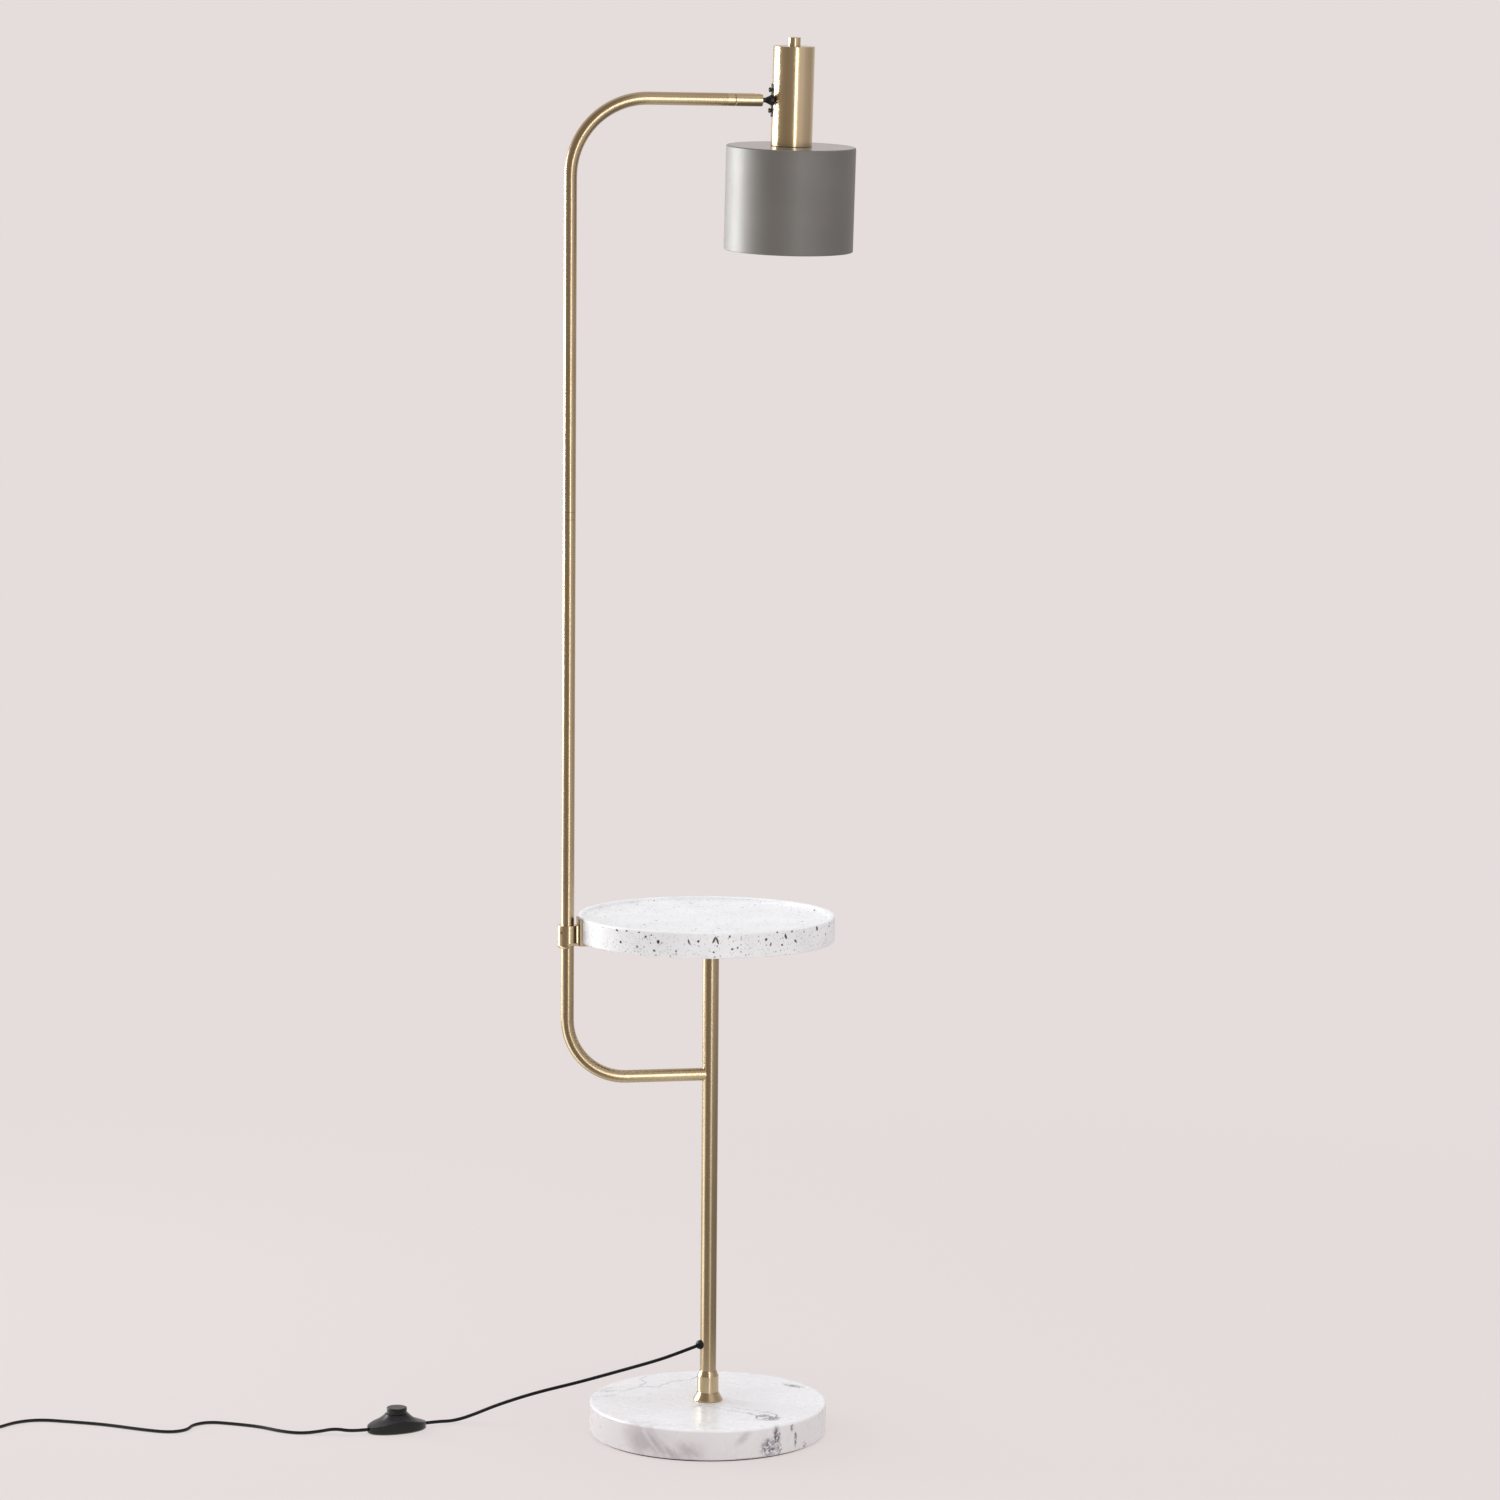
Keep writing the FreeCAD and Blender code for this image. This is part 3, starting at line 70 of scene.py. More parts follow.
view = bpy.data.cameras.new("camera")
view.sensor_width = sensor_width
view.lens = sensor_width * focal_pixels / picture_pixels
view.clip_end = view_reach
camera = bpy.data.objects.new("camera", view)
turn = Matrix((picture_right, picture_up, -forward)).transposed().to_4x4()
camera.matrix_world = Matrix.Translation(camera_at) @ turn
add_to_scene(camera)
bpy.context.scene.camera = camera

# ------------------------------------------------------------------ cords
cord_diameter = 4.0 * MM
curve_order = 3
curve_steps = 12
tube_roundness = 5

# The coil that lies beside the plug: lengths in millimetres, its start in degrees.
coil_centre = (-892.0, 148.0)
coil_start = -60.0
coil_turns = 6
coil_middle = 23.0
coil_pitch = 4.6
coil_floor = 2.65
coil_layer = 5.0
coil_lead = 16.0
climb_turns = 0.5
turn_points = 14
heading_step = 1e-4


def mm(*points):
    return [Vector(p) * MM for p in points]


def coil_place(turn, spread=1.0):
    """Point of the coil: in along the floor, up a layer at the middle, and out again."""
    inward = min(turn, coil_turns - turn)
    radius = (coil_middle + coil_pitch * (coil_turns / 4 - inward)) * spread
    climb = min(max((turn - coil_turns / 2 + climb_turns / 2) / climb_turns, 0), 1)
    height = coil_floor + coil_layer * climb * climb * (3 - 2 * climb)
    angle = math.radians(coil_start) - 2 * math.pi * turn
    return Vector((coil_centre[0] + radius * math.cos(angle),
                   coil_centre[1] + radius * math.sin(angle), height)) * MM


def coil_heading(turn):
    before = coil_place(max(turn - heading_step, 0))
    after = coil_place(min(turn + heading_step, coil_turns))
    return (after - before).normalized()


def spline(name, points):
    """A cord through control points. The points' radii, in metres, make its thickness."""
    curve = bpy.data.curves.new(name, "CURVE")
    curve.dimensions = "3D"
    line = curve.splines.new("NURBS")
    line.points.add(len(points) - 1)
    for place, point in zip(line.points, points):
        place.co = (*point, 1.0)
        place.radius = cord_diameter / 2
    line.order_u = curve_order
    line.use_endpoint_u = True
    curve.resolution_u = curve_steps
    curve.bevel_depth = 1.0
    curve.bevel_resolution = tube_roundness
    curve.use_fill_caps = True
    piece = bpy.data.objects.new(name, curve)
    add_to_scene(piece)
    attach(piece, "root")
    return piece


# Out of the pole, down to the floor and into the switch.
pole_side = mm(
    (-14.28, -2.52, 104.07), (-30.37, -5.36, 99.38), (-58, 2, 88), (-104, 24, 70.5),
    (-150, 42, 54.3), (-196, 56.5, 41), (-240, 71, 24.5), (-272, 84, 8.5), (-292, 87, 2.6),
    (-310.21, 77.40, 5.2), (-326.66, 73.14, 5.2))
# Out of the switch, along the floor to the coil, round it and into the plug.
far_side = mm(
    (-397.34, 54.86, 5.2), (-416.70, 49.85, 5.2), (-436, 59, 7), (-455, 64, 2.8), (-476, 63, 2),
    (-498, 76, 2), (-520, 101, 2), (-549, 119, 2), (-577, 133, 2), (-598, 123, 2),
    (-606, 100, 2), (-628, 93, 2), (-661, 113, 2), (-700, 142, 2), (-741, 162, 2),
    (-774, 177, 2), (-803, 171, 2), (-827, 146, 2))
join = coil_place(0)
far_side.append(join - coil_heading(0) * (coil_lead * MM + cord_diameter))
far_side.append(join - coil_heading(0) * cord_diameter)
# A curve of this order passes inside its control points, at this share of their radius.
reached_share = 0.75 + 0.25 * math.cos(2 * math.pi / turn_points)
for i in range(1, coil_turns * turn_points):
    far_side.append(coil_place(i / turn_points, 1 / reached_share))
leave = coil_place(coil_turns)
far_side.append(leave)
far_side.append(leave + coil_heading(coil_turns) * cord_diameter)

cord_a = spline("lead_to_switch", pole_side)
cord_b = spline("lead_to_plug", far_side)
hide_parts("cord_to_switch")
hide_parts("cord_to_coil", "cord_coil")


# ------------------------------------------------------------------ shader nodes
# Places of the colour sockets on a mix node, and of its result.
MIX_AMOUNT, MIX_LOW, MIX_HIGH, MIX_RESULT = 0, 6, 7, 2


def linear(r, g, b):
    """A colour written in picture values, 0 to 255, as the renderer takes it."""
    def value(c):
        c /= 255
        return c / 12.92 if c <= 0.04045 else ((c + 0.055) / 1.055) ** 2.4
    return (value(r), value(g), value(b), 1.0)


def put(node, socket, value):
    """Set a node's socket, or link it where the value is another node's output."""
    target = node.inputs[socket]
    if isinstance(value, bpy.types.NodeSocket):
        node.id_data.links.new(value, target)
    else:
        target.default_value = value


def add_node(tree, kind, *sockets, **values):
    """A new node. Names with a capital are sockets, the others are settings."""
    made = tree.nodes.new("ShaderNode" + kind)
    for name, value in values.items():
        if name[0].isupper():
            put(made, name.replace("_", " "), value)
        else:
            setattr(made, name, value)
    for i, value in enumerate(sockets):
        put(made, i, value)
    return made


def mix_colours(tree, amount, low, high):
    made = add_node(tree, "Mix", data_type="RGBA")
    put(made, MIX_AMOUNT, amount)
    put(made, MIX_LOW, low)
    put(made, MIX_HIGH, high)
    return made.outputs[MIX_RESULT]


def mix_shaders(tree, amount, low, high):
    return add_node(tree, "MixShader", amount, low, high).outputs[0]


# ------------------------------------------------------------------ light and floor
backdrop_colour = linear(229, 221, 219)
dark_colour = linear(158, 147, 136)
soft_light = linear(206, 207, 210)
gleam_colour = (2.4, 2.4, 2.3, 1)
strip_colour = (1.3, 1.3, 1.25, 1)
daylight = (0.95, 0.98, 1.0)


def sight(right, up=0.0):
    """Direction from the object, turned to the camera's right by that many degrees, and up."""
    angle = math.radians(right)
    lift = math.radians(up)
    to_camera = Vector((-forward.x, -forward.y, 0)).normalized()
    side = Vector((level.x, level.y, 0))
    flat = to_camera * math.cos(angle) + side * math.sin(angle)
    return flat * math.cos(lift) + Vector((0, 0, math.sin(lift)))


# The studio as a mirror sees it: degrees to the camera's right, colour, and share of that colour.
left_stops = (
    (-180, backdrop_colour, 1), (-107, backdrop_colour, 1), (-96, dark_colour, 1.35),
    (-65, dark_colour, 1.12))
wall_stops = left_stops + (
    (-40, dark_colour, 0.9), (6, dark_colour, 1), (20, backdrop_colour, 1),
    (54, backdrop_colour, 1), (72, backdrop_colour, 0.6), (108, backdrop_colour, 0.6),
    (150, backdrop_colour, 1), (180, backdrop_colour, 1))
far_floor_stops = left_stops + (
    (-40, dark_colour, 0.95), (6, dark_colour, 1.1), (26, backdrop_colour, 1.05),
    (52, backdrop_colour, 1.05), (72, backdrop_colour, 0.82), (105, backdrop_colour, 0.7),
    (128, backdrop_colour, 0.72), (160, backdrop_colour, 1), (180, backdrop_colour, 1))
near_floor_stops = (
    (-180, backdrop_colour, 1), (-107, backdrop_colour, 1), (-101, gleam_colour, 1),
    (-74, gleam_colour, 1), (-68, dark_colour, 1.1), (-40, dark_colour, 0.9),
    (11, dark_colour, 1), (18, strip_colour, 1), (26, strip_colour, 1),
    (31, backdrop_colour, 0.4), (130, backdrop_colour, 0.4), (170, backdrop_colour, 1),
    (180, backdrop_colour, 1))


def studio_tone(tree, way, stops):
    """Colour of the studio in a direction."""
    def along(direction):
        return add_node(tree, "VectorMath", way, direction,
                        operation="DOT_PRODUCT").outputs["Value"]

    angle = add_node(tree, "Math", along(sight(90)), along(sight(0)), operation="ARCTAN2")
    place = add_node(tree, "MapRange", Value=angle.outputs[0], From_Min=-math.pi,
                     From_Max=math.pi)
    ramp = add_node(tree, "ValToRGB", Fac=place.outputs["Result"])
    keys = ramp.color_ramp.elements
    for degrees, _, _ in stops[1:-1]:
        keys.new(degrees / 360 + 0.5)
    for key, (_, colour, share) in zip(keys, stops):
        key.color = tuple(value * share for value in colour[:3]) + (1.0,)
    return ramp.outputs["Color"]


def mirrored_ray(tree, path):
    """1 for a ray that a mirror or glass sends."""
    return add_node(tree, "Math", path.outputs["Is Glossy Ray"],
                    path.outputs["Is Transmission Ray"], operation="MAXIMUM").outputs[0]


def make_world():
    """A backdrop for the camera, soft light for matt surfaces, and the studio for mirrors."""
    world = bpy.data.worlds.new("studio")
    bpy.context.scene.world = world
    world.use_nodes = True
    tree = world.node_tree
    tree.nodes.clear()
    where = add_node(tree, "TexCoord").outputs["Generated"]
    path = add_node(tree, "LightPath")

    def background(colour):
        return add_node(tree, "Background", Color=colour).outputs[0]

    lit = mix_shaders(tree, mirrored_ray(tree, path), background(soft_light),
                      background(studio_tone(tree, where, wall_stops)))
    shown = mix_shaders(tree, path.outputs["Is Camera Ray"], lit, background(backdrop_colour))
    add_node(tree, "OutputWorld", Surface=shown)


make_world()


def softbox(name, right, up, far, size, watts, aim=(0.0, 0.0, 0.8), colour=(1, 1, 1),
            mirrored=True, matt=True):
    """A lamp that shines at its aim from some metres off. Mirrors or matt surfaces can miss it."""
    data = bpy.data.lights.new(name, "AREA")
    data.shape = "RECTANGLE"
    data.size, data.size_y = size
    data.energy = watts
    data.color = colour
    lamp = bpy.data.objects.new(name, data)
    lamp.visible_glossy = mirrored
    lamp.visible_diffuse = matt
    target = Vector(aim)
    at = target + sight(right, up) * far
    facing = (at - target).to_track_quat("Z", "Y").to_matrix().to_4x4()
    lamp.matrix_world = Matrix.Translation(at) @ facing
    add_to_scene(lamp)


softbox("left_box", right=-116, up=4, far=3.0, size=(1.5, 2.6), watts=55, colour=daylight)
softbox("left_gleam", right=-105, up=0, far=3.0, size=(1.3, 0.9), watts=76, aim=(0.0, 0.0, 1.3),
        colour=daylight, matt=False)
softbox("right_strip", right=19, up=2, far=3.2, size=(0.6, 2.6), watts=20)
softbox("top_box", right=10, up=85, far=3.2, size=(2.4, 2.4), watts=45, colour=daylight,
        mirrored=False)

# The floor, in metres: where its near tone and its far tone come in, and where the shadow ends.
# Beside the object the floor glows with this share of its colour, and lamps light the rest.
floor_radius = 30.0
floor_sides = 96
near_tone_reach = (0.14, 0.55)
far_tone_reach = (2.2, 3.6)
shadow_reach = (0.5, 2.5)
glow_at_object = 0.75


def make_floor():
    """Pale floor that keeps the object's shadow and shows the studio's tones in mirrors."""
    mesh = bpy.data.meshes.new("floor")
    shape = bmesh.new()
    bmesh.ops.create_circle(shape, cap_ends=True, radius=floor_radius, segments=floor_sides)
    shape.to_mesh(mesh)
    shape.free()
    floor = bpy.data.objects.new("floor", mesh)
    add_to_scene(floor)
    material = bpy.data.materials.new("floor")
    material.use_nodes = True
    tree = material.node_tree
    tree.nodes.clear()
    where = add_node(tree, "NewGeometry").outputs["Position"]
    way = add_node(tree, "VectorMath", where, operation="NORMALIZE").outputs["Vector"]
    distance = add_node(tree, "VectorMath", where, operation="LENGTH").outputs["Value"]
    path = add_node(tree, "LightPath")

    def fade(reach, low=0.0):
        made = add_node(tree, "MapRange", interpolation_type="SMOOTHSTEP", Value=distance,
                        From_Min=reach[0], From_Max=reach[1], To_Min=low, To_Max=1.0)
        return made.outputs["Result"]

    near = mix_colours(tree, fade(near_tone_reach), backdrop_colour,
                       studio_tone(tree, way, near_floor_stops))
    tone = mix_colours(tree, fade(far_tone_reach), near, studio_tone(tree, way, far_floor_stops))
    matt = add_node(tree, "BsdfDiffuse", Color=backdrop_colour).outputs[0]
    glow = add_node(tree, "Emission", Color=backdrop_colour).outputs[0]
    mirrored = add_node(tree, "Emission", Color=tone).outputs[0]
    shown = add_node(tree, "Math", path.outputs["Is Camera Ray"],
                     fade(shadow_reach, glow_at_object), operation="MULTIPLY").outputs[0]
    direct = mix_shaders(tree, shown, matt, glow)
    add_node(tree, "OutputMaterial",
             Surface=mix_shaders(tree, mirrored_ray(tree, path), direct, mirrored))
    mesh.materials.append(material)


make_floor()

# ------------------------------------------------------------------ materials
# Most of a noise's values lie between these.
NOISE_LOW, NOISE_HIGH = 0.3, 0.7


class Paint:
    """A procedural material: a principled shader and short calls that add nodes to it."""

    def __init__(self, name, **sockets):
        self.material = bpy.data.materials.new(name)
        self.material.use_nodes = True
        self.tree = self.material.node_tree
        self.shader = self.tree.nodes["Principled BSDF"]
        for socket, value in sockets.items():
            self.set(socket.replace("_", " "), value)
        self.where = self.node("TexCoord").outputs["Object"]

    def set(self, socket, value):
        put(self.shader, socket, value)

    def node(self, kind, *sockets, **values):
        return add_node(self.tree, kind, *sockets, **values)

    def noise(self, scale, detail=3.0, rough=0.5, stretch=(1, 1, 1), shift=(0, 0, 0), where=None,
              out="Fac"):
        place = self.node("Mapping", Vector=where or self.where, Scale=stretch, Location=shift)
        made = self.node("TexNoise", Vector=place.outputs[0], Scale=scale, Detail=detail,
                         Roughness=rough)
        return made.outputs[out]

    def math(self, operation, *values):
        return self.node("Math", *values, operation=operation).outputs[0]

    def part(self, vector, axis):
        """One of a vector's three numbers."""
        return self.node("SeparateXYZ", vector).outputs[axis]

    def span(self, value, low, high, to_low=0.0, to_high=1.0):
        """A smooth step from to_low, at low, to to_high, at high."""
        made = self.node("MapRange", interpolation_type="SMOOTHSTEP", Value=value, From_Min=low,
                         From_Max=high, To_Min=to_low, To_Max=to_high)
        return made.outputs["Result"]

    def warped(self, scale, reach):
        """Coordinates shaken by noise, for edges that wander."""
        shake = self.noise(scale, out="Color")
        either_way = self.node("VectorMath", shake, (0.5,) * 3, operation="SUBTRACT").outputs[0]
        return self.node("VectorMath", either_way, (2 * reach,) * 3, self.where,
                         operation="MULTIPLY_ADD").outputs[0]

    def local(self, where, centre, size, turn=(0, 0, 0)):
        """Coordinates about a centre, in a box's half sizes. Centre in metres, size in mm."""
        return self.node("Mapping", vector_type="TEXTURE", Vector=where, Location=centre,
                         Rotation=turn, Scale=[side * MM for side in size]).outputs[0]

    def blob(self, *place):
        """Distance from a spot's middle, 1 at its edge. It is placed as local places it."""
        return self.node("VectorMath", self.local(*place), operation="LENGTH").outputs["Value"]

    def nearest(self, distances):
        found = distances[0]
        for other in distances[1:]:
            found = self.math("MINIMUM", found, other)
        return found

    def ramp(self, value, *stops):
        made = self.node("ValToRGB", Fac=value)
        keys = made.color_ramp.elements
        for position, _ in stops[1:-1]:
            keys.new(position)
        keys[0].position = stops[0][0]
        keys[-1].position = stops[-1][0]
        for key, (_, colour) in zip(keys, stops):
            key.color = colour if hasattr(colour, "__len__") else (colour, colour, colour, 1.0)
        return made.outputs["Color"]

    def vary(self, socket, noise, low, high):
        """Let a socket go with a noise from one value or colour to another."""
        self.set(socket, self.ramp(noise, (NOISE_LOW, low), (NOISE_HIGH, high)))

    def bump(self, height, depth):
        self.set("Normal", self.node("Bump", Distance=depth, Height=height).outputs["Normal"])

    def mix(self, amount, low, high):
        return mix_colours(self.tree, amount, low, high)


def brass(name, tone, smooth, rough):
    """Antique brass, brushed along the tubes."""
    paint = Paint(name, Metallic=1.0)
    lines = paint.noise(1500, detail=2, rough=0.6, stretch=(1, 1, 0.004))
    dull, bright = ([value * tone for value in colour] + [1]
                    for colour in ((0.55, 0.435, 0.275), (0.61, 0.495, 0.325)))
    paint.vary("Base Color", paint.noise(11), dull, bright)
    paint.vary("Roughness", lines, smooth, rough)
    paint.bump(lines, 0.006 * MM)
    return paint.material


def plain(name, colour, roughness, grain=500.0, depth=0.02 * MM, swing=0.05, **sockets):
    """One colour with a fine grain, whose roughness swings a little."""
    paint = Paint(name, Base_Color=colour, **sockets)
    fine = paint.noise(grain, detail=2)
    paint.vary("Roughness", fine, roughness - swing, roughness + swing)
    paint.bump(fine, depth)
    return paint.material


def moulded(name, roughness, swing=0.04):
    """Black moulded plastic or rubber, painted paler on upward faces as a highlight from above."""
    black = (0.004, 0.0036, 0.0038, 1)
    sheen_grey = (0.035, 0.032, 0.034, 1)
    paint = Paint(name, Specular_IOR_Level=0.2)
    # Painted highlight: upward faces get a paler grey, in patches, as if lit from above.
    upward = paint.part(paint.node("NewGeometry").outputs["Normal"], "Z")
    top_sheen = paint.math("MULTIPLY", paint.span(upward, 0.35, 0.95),
                      paint.span(paint.noise(160), 0.25, 0.7, 0.5, 1.0))
    paint.set("Base Color", paint.mix(top_sheen, black, sheen_grey))
    fine = paint.noise(700, detail=2)
    paint.vary("Roughness", fine, roughness - swing, roughness + swing)
    paint.bump(fine, 0.02 * MM)
    return paint.material


def on_wall(angle, height, radius, across=0.0):
    """Point on a disc's wall: angle in degrees, the rest in millimetres."""
    turn = math.radians(angle)
    return Vector((across + radius * math.cos(turn), radius * math.sin(turn), height)) * MM


def along_wall(angle, lean=0.0):
    """Rotation that lays a mark along a disc's wall and leans it."""
    return (0, lean, math.radians(angle + 90))


marble_radius = 140.0
marble_top = 38
# Marks on the marble's wall: degrees, height, lean in radians, half sizes in millimetres.
hazes = (
    (-131, 19, 0.3, (40, 30, 26)), (-112, 10, 0, (26, 30, 18)), (55, 16, 0, (50, 40, 24)),
    (150, 16, 0, (30, 40, 24)))
smudges = ((-126, 17, 0.85, (21, 6, 3.5)), (-119, 9, 0.9, (12, 6, 3.5)),
           (-84, 27, -0.7, (12, 8, 5)))
# Veins on the marble's top: half thickness and corners in millimetres.
vein_paths = (
    (0.9, ((-25, -30), (-10, -24), (4, -38), (13, -51), (23, -58), (33, -68), (42, -70),
           (52, -70), (62, -66))),
    (0.8, ((-7, -18), (8, -28), (20, -38), (31, -49), (43, -57), (53, -66), (60, -72))),
    (1.3, ((33, -68), (42, -80), (40, -96), (50, -104), (62, -95), (66, -82), (60, -72))),
    (1.6, ((42, -80), (52, -84), (60, -90))),
    (0.9, ((-118, 62), (-92, 58), (-70, 74), (-48, 70), (-26, 92), (-4, 96), (14, 118),
           (30, 134))),
    (0.7, ((-70, 74), (-58, 92), (-62, 110), (-50, 124))))
vein_depth = 4
vein_overlap = 1.25


def marble():
    """White marble with drifting grey, fine dark veins and mottled spots."""
    def wall(angle, height):
        return on_wall(angle, height, marble_radius)

    def top(x, y):
        return Vector((x, y, marble_top)) * MM

    paint = Paint("marble", Coat_Weight=0.25, Coat_Roughness=0.2)
    wander = paint.warped(55, 6 * MM)
    shaken = paint.warped(260, 2.2 * MM)
    wavy = paint.warped(150, 1.6 * MM)

    # The white ground, with threads of grey, and a darker grey on the wall below the top's edge.
    cloud = paint.noise(9, detail=4, rough=0.55, where=wander)
    colour = paint.ramp(cloud, (0.35, linear(246, 244, 245)), (0.5, linear(251, 250, 251)),
                        (0.72, linear(253, 252, 253)))
    fine = paint.noise(7, detail=6, rough=0.62, stretch=(1, 1.6, 1), shift=(4.1, 2.2, 0.7),
                       where=wander)
    thread = paint.math("ABSOLUTE", paint.math("SUBTRACT", fine, 0.5))
    faint = paint.span(thread, 0.0, 0.012, 1.0, 0.0)
    patchy = paint.span(paint.noise(6, detail=2, shift=(1.3, 0.2, 0.4)), 0.5, 0.68)
    colour = paint.mix(paint.math("MULTIPLY", faint, paint.math("MULTIPLY", patchy, 0.75)),
                       colour, linear(176, 174, 180))
    darker_wall = paint.span(paint.part(paint.where, "Z"), 34 * MM, 37.5 * MM, 0.5, 0.0)
    colour = paint.mix(darker_wall, colour, linear(220, 211, 210))

    # Drifts and smudges on the wall.
    drift = paint.local(wander, wall(-128, 16), (50, 20, 12), along_wall(-128, 0.75))
    streaks = paint.span(paint.noise(1.0, detail=4, rough=0.6, where=drift), 0.38, 0.62)
    haze = paint.nearest([paint.blob(wander, wall(angle, height), size, along_wall(angle, lean))
                          for angle, height, lean, size in hazes])
    haze = paint.math("MULTIPLY", paint.span(haze, 0.2, 1.2, 1.0, 0.0),
                      paint.math("MULTIPLY_ADD", streaks, 0.45, 0.25))
    colour = paint.mix(haze, colour, linear(178, 168, 170))
    smudge = paint.nearest([paint.blob(shaken, wall(angle, height), size, along_wall(angle, lean))
                            for angle, height, lean, size in smudges])
    colour = paint.mix(paint.span(smudge, 0.2, 1.4, 0.4, 0.0), colour, linear(150, 142, 146))

    # Veins on the top, one blob to a stretch.
    veins = []
    for thick, path in vein_paths:
        for (x0, y0), (x1, y1) in zip(path, path[1:]):
            half = math.hypot(x1 - x0, y1 - y0) / 2 * vein_overlap
            turn = (0, 0, math.atan2(y1 - y0, x1 - x0))
            veins.append(paint.blob(wavy, top((x0 + x1) / 2, (y0 + y1) / 2),
                                    (half, thick, vein_depth), turn))
    vein = paint.math("MULTIPLY", paint.span(paint.nearest(veins), 0.4, 1.5, 0.9, 0.0),
                      paint.span(paint.noise(120, detail=2), 0.3, 0.6, 0.5, 1.0))
    colour = paint.mix(vein, colour, linear(126, 122, 134))

    # Mottled dark spots on the wall and the top.
    spots = (
        (wall(-70.5, 13), (12, 10, 12), (0, 0, 0.3)), (wall(-66, 25), (6, 10, 14), (0.35, 0, 0.4)),
        (wall(-64.5, 8), (4, 8, 10), (0, 0, 0.4)), (wall(-56.6, 31), (2.6, 6, 4.5)),
        (wall(-54, 17), (2.2, 6, 11)), (wall(-47, 7), (3, 6, 4)),
        (top(57, -98), (12, 10, 6), (0, 0, 0.4)), (top(49, -84), (10, 6, 6), (0, 0, 0.4)),
        (top(113, 47), (17, 6, 4), (0, 0, -0.9)), (wall(76, 26), (5, 8, 16), (0.3, 0.5, 0)),
        (wall(171, 18), (12, 4, 18), (0.4, 0, 0)))
    mottle = paint.span(paint.noise(330, detail=4, rough=0.65), 0.36, 0.6)
    spot = paint.nearest([paint.blob(shaken, *place) for place in spots])
    amount = paint.math("MULTIPLY", paint.span(spot, 0.4, 1.25, 1.0, 0.0), mottle)
    paint.set("Base Color", paint.mix(amount, colour, linear(82, 78, 88)))
    paint.set("Roughness", paint.span(paint.noise(60), 0.3, 0.7, 0.24, 0.36))
    paint.bump(paint.noise(420, detail=2), 0.01 * MM)
    return paint.material


tray_radius = 150
tray_across = -5.5
tray_rim = 619
# Sizes of speck in the terrazzo: cells to a metre, share of cells left bare, size in its cell,
# grey in picture values, and strength.
specks = ((620, 0.71, 0.34, 125, 0.7), (330, 0.82, 0.30, 95, 0.8), (150, 0.91, 0.26, 70, 0.85))
# Larger chips on the tray's wall: degrees, height, half width, half height and lean in radians.
wall_chips = (
    (-122.5, 606.8, 1.9, 2.3, 0.1), (-108.7, 608.5, 1.0, 3.2, -0.2), (-104.5, 609.2, 1.5, 1.5, 0.0),
    (-97.6, 611.0, 1.2, 4.6, 0.45), (-96.2, 610.0, 1.3, 4.4, -0.35), (-90.8, 614.6, 1.3, 1.6, 0.3),
    (-74.0, 609.4, 1.6, 1.9, 0.5), (-71.7, 603.5, 1.0, 2.4, 0.2), (-68.4, 616.6, 1.3, 1.0, 0.2),
    (-65.8, 601.6, 1.3, 1.6, -0.6), (-63.8, 610.7, 1.6, 3.2, -0.4), (-60.3, 616.0, 1.3, 1.5, 0.6),
    (-58.1, 604.4, 1.3, 2.6, -0.7), (-52.7, 613.4, 0.9, 1.2, 0.0), (-43.0, 614.4, 2.1, 3.1, -0.4),
    (-29.9, 612.8, 1.6, 1.7, 0.1), (-34.4, 604.8, 1.3, 1.3, 0.0), (-89.7, 600.1, 1.6, 1.2, 0.3),
    (-87.3, 601.5, 1.0, 1.5, 0.0), (-97.8, 596.7, 1.5, 1.0, 0.2), (-124.4, 596.3, 1.6, 1.2, 0.6),
    (-144.1, 615.2, 2.2, 1.2, 0.3), (-138.5, 616.0, 1.5, 1.1, 0.0), (-142.0, 602.3, 1.8, 1.5, 0.4),
    (-131.9, 616.0, 1.3, 0.9, 0.0), (-128.5, 611.6, 1.7, 1.2, -0.5),
    (-125.7, 614.0, 1.0, 1.0, 0.0))
chip_depth = 4
# Chips on the tray's rim: place and half sizes in millimetres.
rim_chips = (((107.5, 70.2), (1.8, 1.4, 3)), ((-128, -2), (1.0, 1.2, 3)))


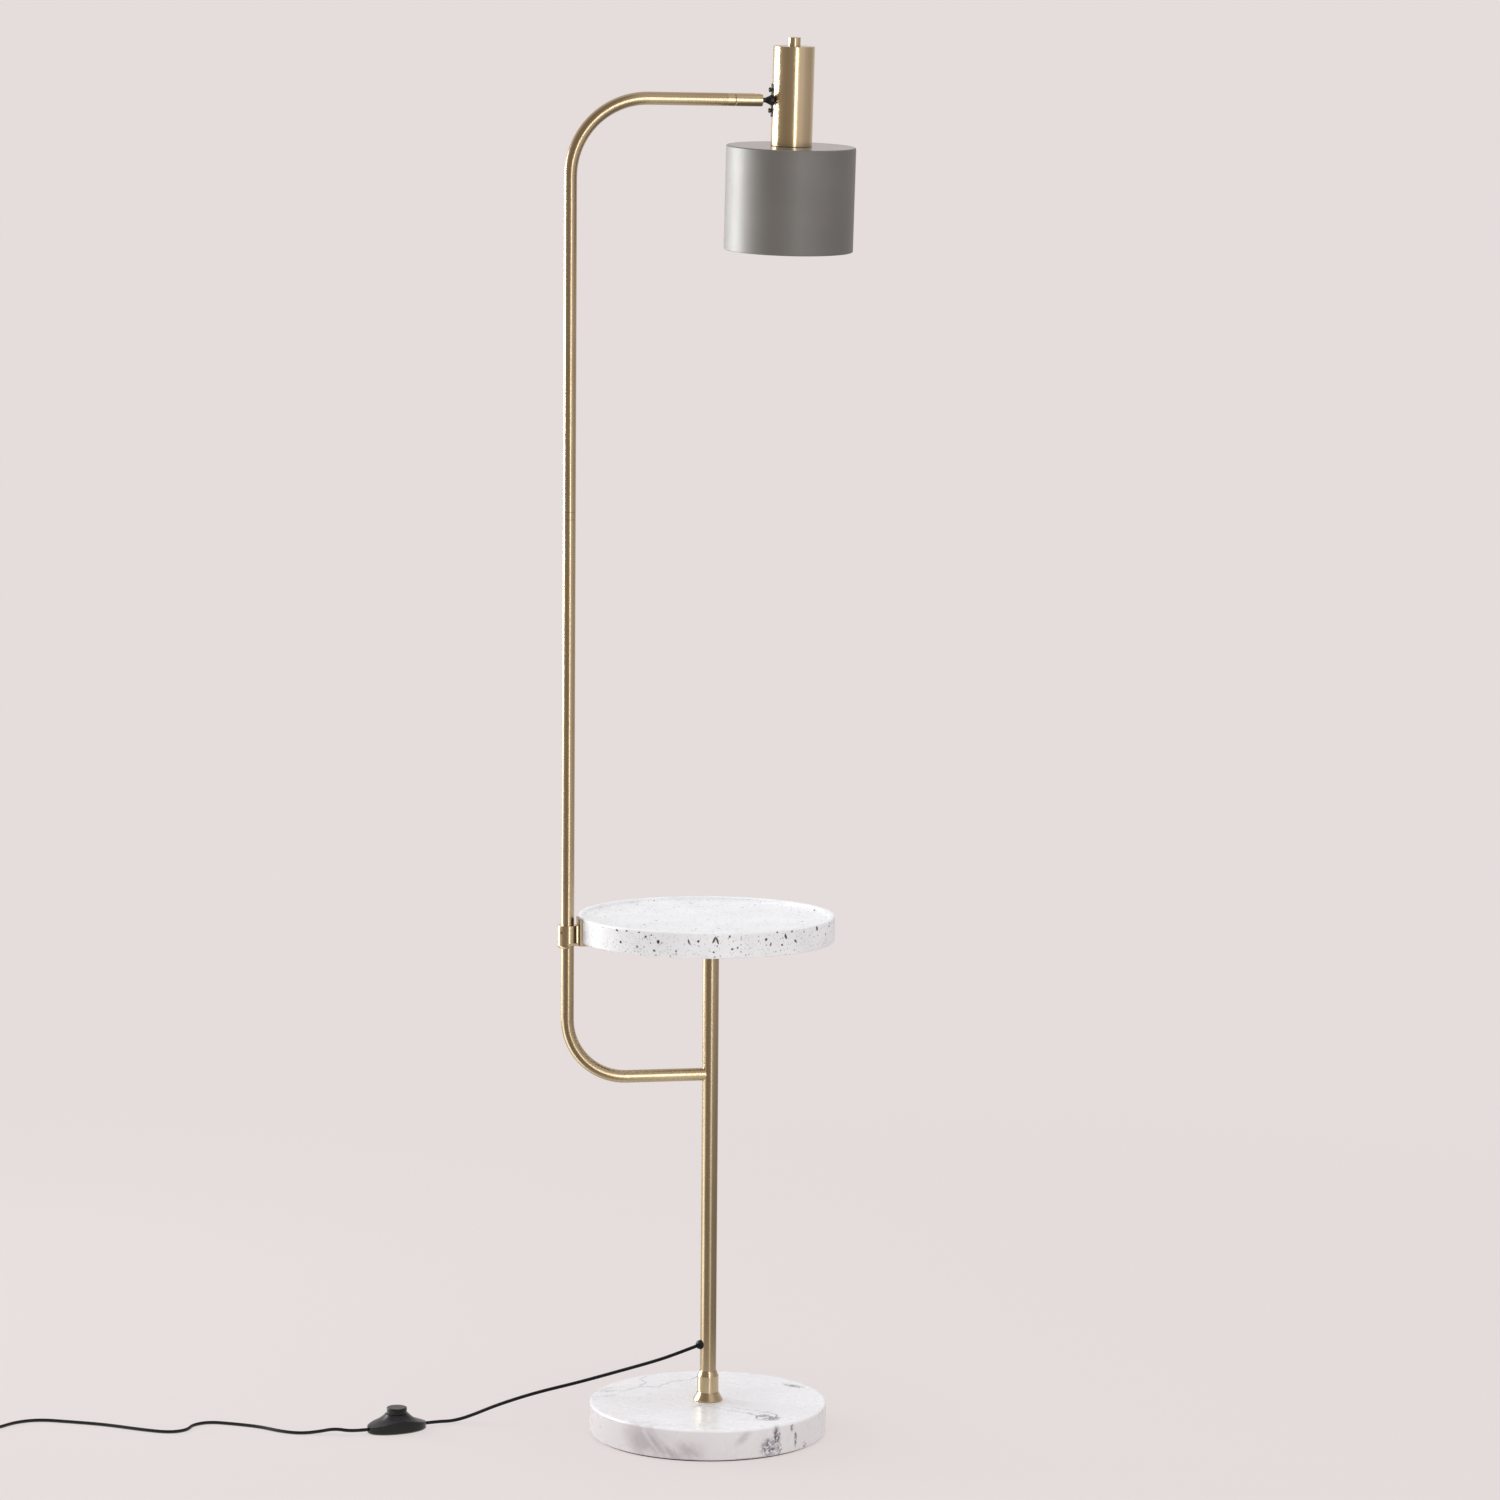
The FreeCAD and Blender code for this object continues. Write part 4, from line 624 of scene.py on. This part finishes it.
def terrazzo():
    """White terrazzo with grey specks, which show most on the cut wall."""
    paint = Paint("terrazzo")
    colour = paint.ramp(paint.noise(30), (NOISE_LOW, linear(241, 240, 240)),
                        (NOISE_HIGH, linear(249, 248, 248)))
    side = paint.span(paint.part(paint.where, "Z"), 615.5 * MM, 618.5 * MM, 1.0, 0.06)
    shaken = paint.warped(700, 0.7 * MM)
    for scale, bare, size, tone, strength in specks:
        cells = paint.node("TexVoronoi", Vector=shaken, Scale=scale, Randomness=0.95)
        chosen = paint.node("SeparateColor", cells.outputs["Color"])
        few = paint.math("GREATER_THAN", chosen.outputs[0], bare)
        reach = paint.math("MULTIPLY_ADD", chosen.outputs[1], size * 0.6, size * 0.5)
        edge = paint.math("SUBTRACT", cells.outputs["Distance"], reach)
        spot = paint.span(edge, -0.08, 0.08, 1.0, 0.0)
        amount = paint.math("MULTIPLY", paint.math("MULTIPLY", spot, few),
                            paint.math("MULTIPLY", side, strength))
        colour = paint.mix(amount, colour, linear(tone, tone - 2, tone))
    chips = [paint.blob(shaken, on_wall(angle, height, tray_radius, tray_across),
                        (wide, chip_depth, tall), along_wall(angle, lean))
             for angle, height, wide, tall, lean in wall_chips]
    chips += [paint.blob(shaken, Vector((*place, tray_rim)) * MM, size)
              for place, size in rim_chips]
    chip = paint.span(paint.nearest(chips), 0.8, 1.1, 1.0, 0.0)
    paint.set("Base Color", paint.mix(chip, colour, linear(60, 56, 60)))
    paint.set("Roughness", paint.span(paint.noise(200, detail=2), 0.3, 0.7, 0.34, 0.44))
    paint.bump(paint.noise(600, detail=2), 0.01 * MM)
    return paint.material


def satin_shade():
    """Grey satin lacquer with a little metal in it, smoother on the shade's lid."""
    paint = Paint("shade_metal", Metallic=0.7, Coat_Weight=0.12, Coat_Roughness=0.3)
    fine = paint.noise(900, detail=2)
    paint.vary("Base Color", paint.noise(16, detail=2), (0.232, 0.223, 0.212, 1),
               (0.252, 0.243, 0.231, 1))
    lid = paint.span(paint.part(paint.node("TexCoord").outputs["Normal"], "Z"), 0.8, 0.95)
    satin = paint.span(fine, 0.3, 0.7, 0.6, 0.66)
    paint.set("Roughness", paint.math("MULTIPLY_ADD", lid, -0.4, satin))
    paint.bump(fine, 0.004 * MM)
    return paint.material


materials = {
    "brass": brass("brass", tone=1.0, smooth=0.17, rough=0.25),
    "tube_brass": brass("tube_brass", tone=0.85, smooth=0.2, rough=0.3),
    # A darker copy of the brass, for painted shade on the bracket under the tray.
    "brass_painted_shade": brass("brass_painted_shade", tone=0.5, smooth=0.3, rough=0.4),
    "marble": marble(),
    "terrazzo": terrazzo(),
    "shade_metal": satin_shade(),
    "black_metal": plain("black_metal", (0.006, 0.0055, 0.006, 1), 0.35),
    "black_plastic": moulded("black_plastic", 0.3),
    "black_rubber": moulded("black_rubber", 0.42),
    "felt": plain("felt", (0.02, 0.02, 0.02, 1), 0.9, grain=900, depth=0.2 * MM),
    "steel": plain("steel", (0.6, 0.6, 0.6, 1), 0.3, Metallic=1.0),
    "bulb_glass": plain("bulb_glass", (0.9, 0.89, 0.87, 1), 0.35),
    "holder_plastic": plain("holder_plastic", (0.02, 0.02, 0.02, 1), 0.3),
    "cord": plain("cord", (0.0025, 0.0022, 0.0025, 1), 0.55, Specular_IOR_Level=0.2),
}


def dress(piece, slot):
    piece.data.materials.clear()
    piece.data.materials.append(materials[slot])


for part in frame["record"]["subparts"]:
    dress(cad[part["node"]], part["material_slot"])
for node in ("lower_pole", "low_branch", "low_coupler", "middle_tube", "mid_coupler", "upper_tube",
             "collar_screw"):
    dress(cad[node], "tube_brass")
# The bracket under the tray gets the darker copy of the brass: painted shade.
dress(cad["tray_bracket"], "brass_painted_shade")
for lead in (cord_a, cord_b):
    dress(lead, "cord")

# The button's spring stands on the casing's floor; here it gets a mesh of its own.
spring = cad["switch_spring"]
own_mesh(spring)

bpy.context.scene.view_settings.view_transform = "Standard"

bpy.context.view_layer.update()
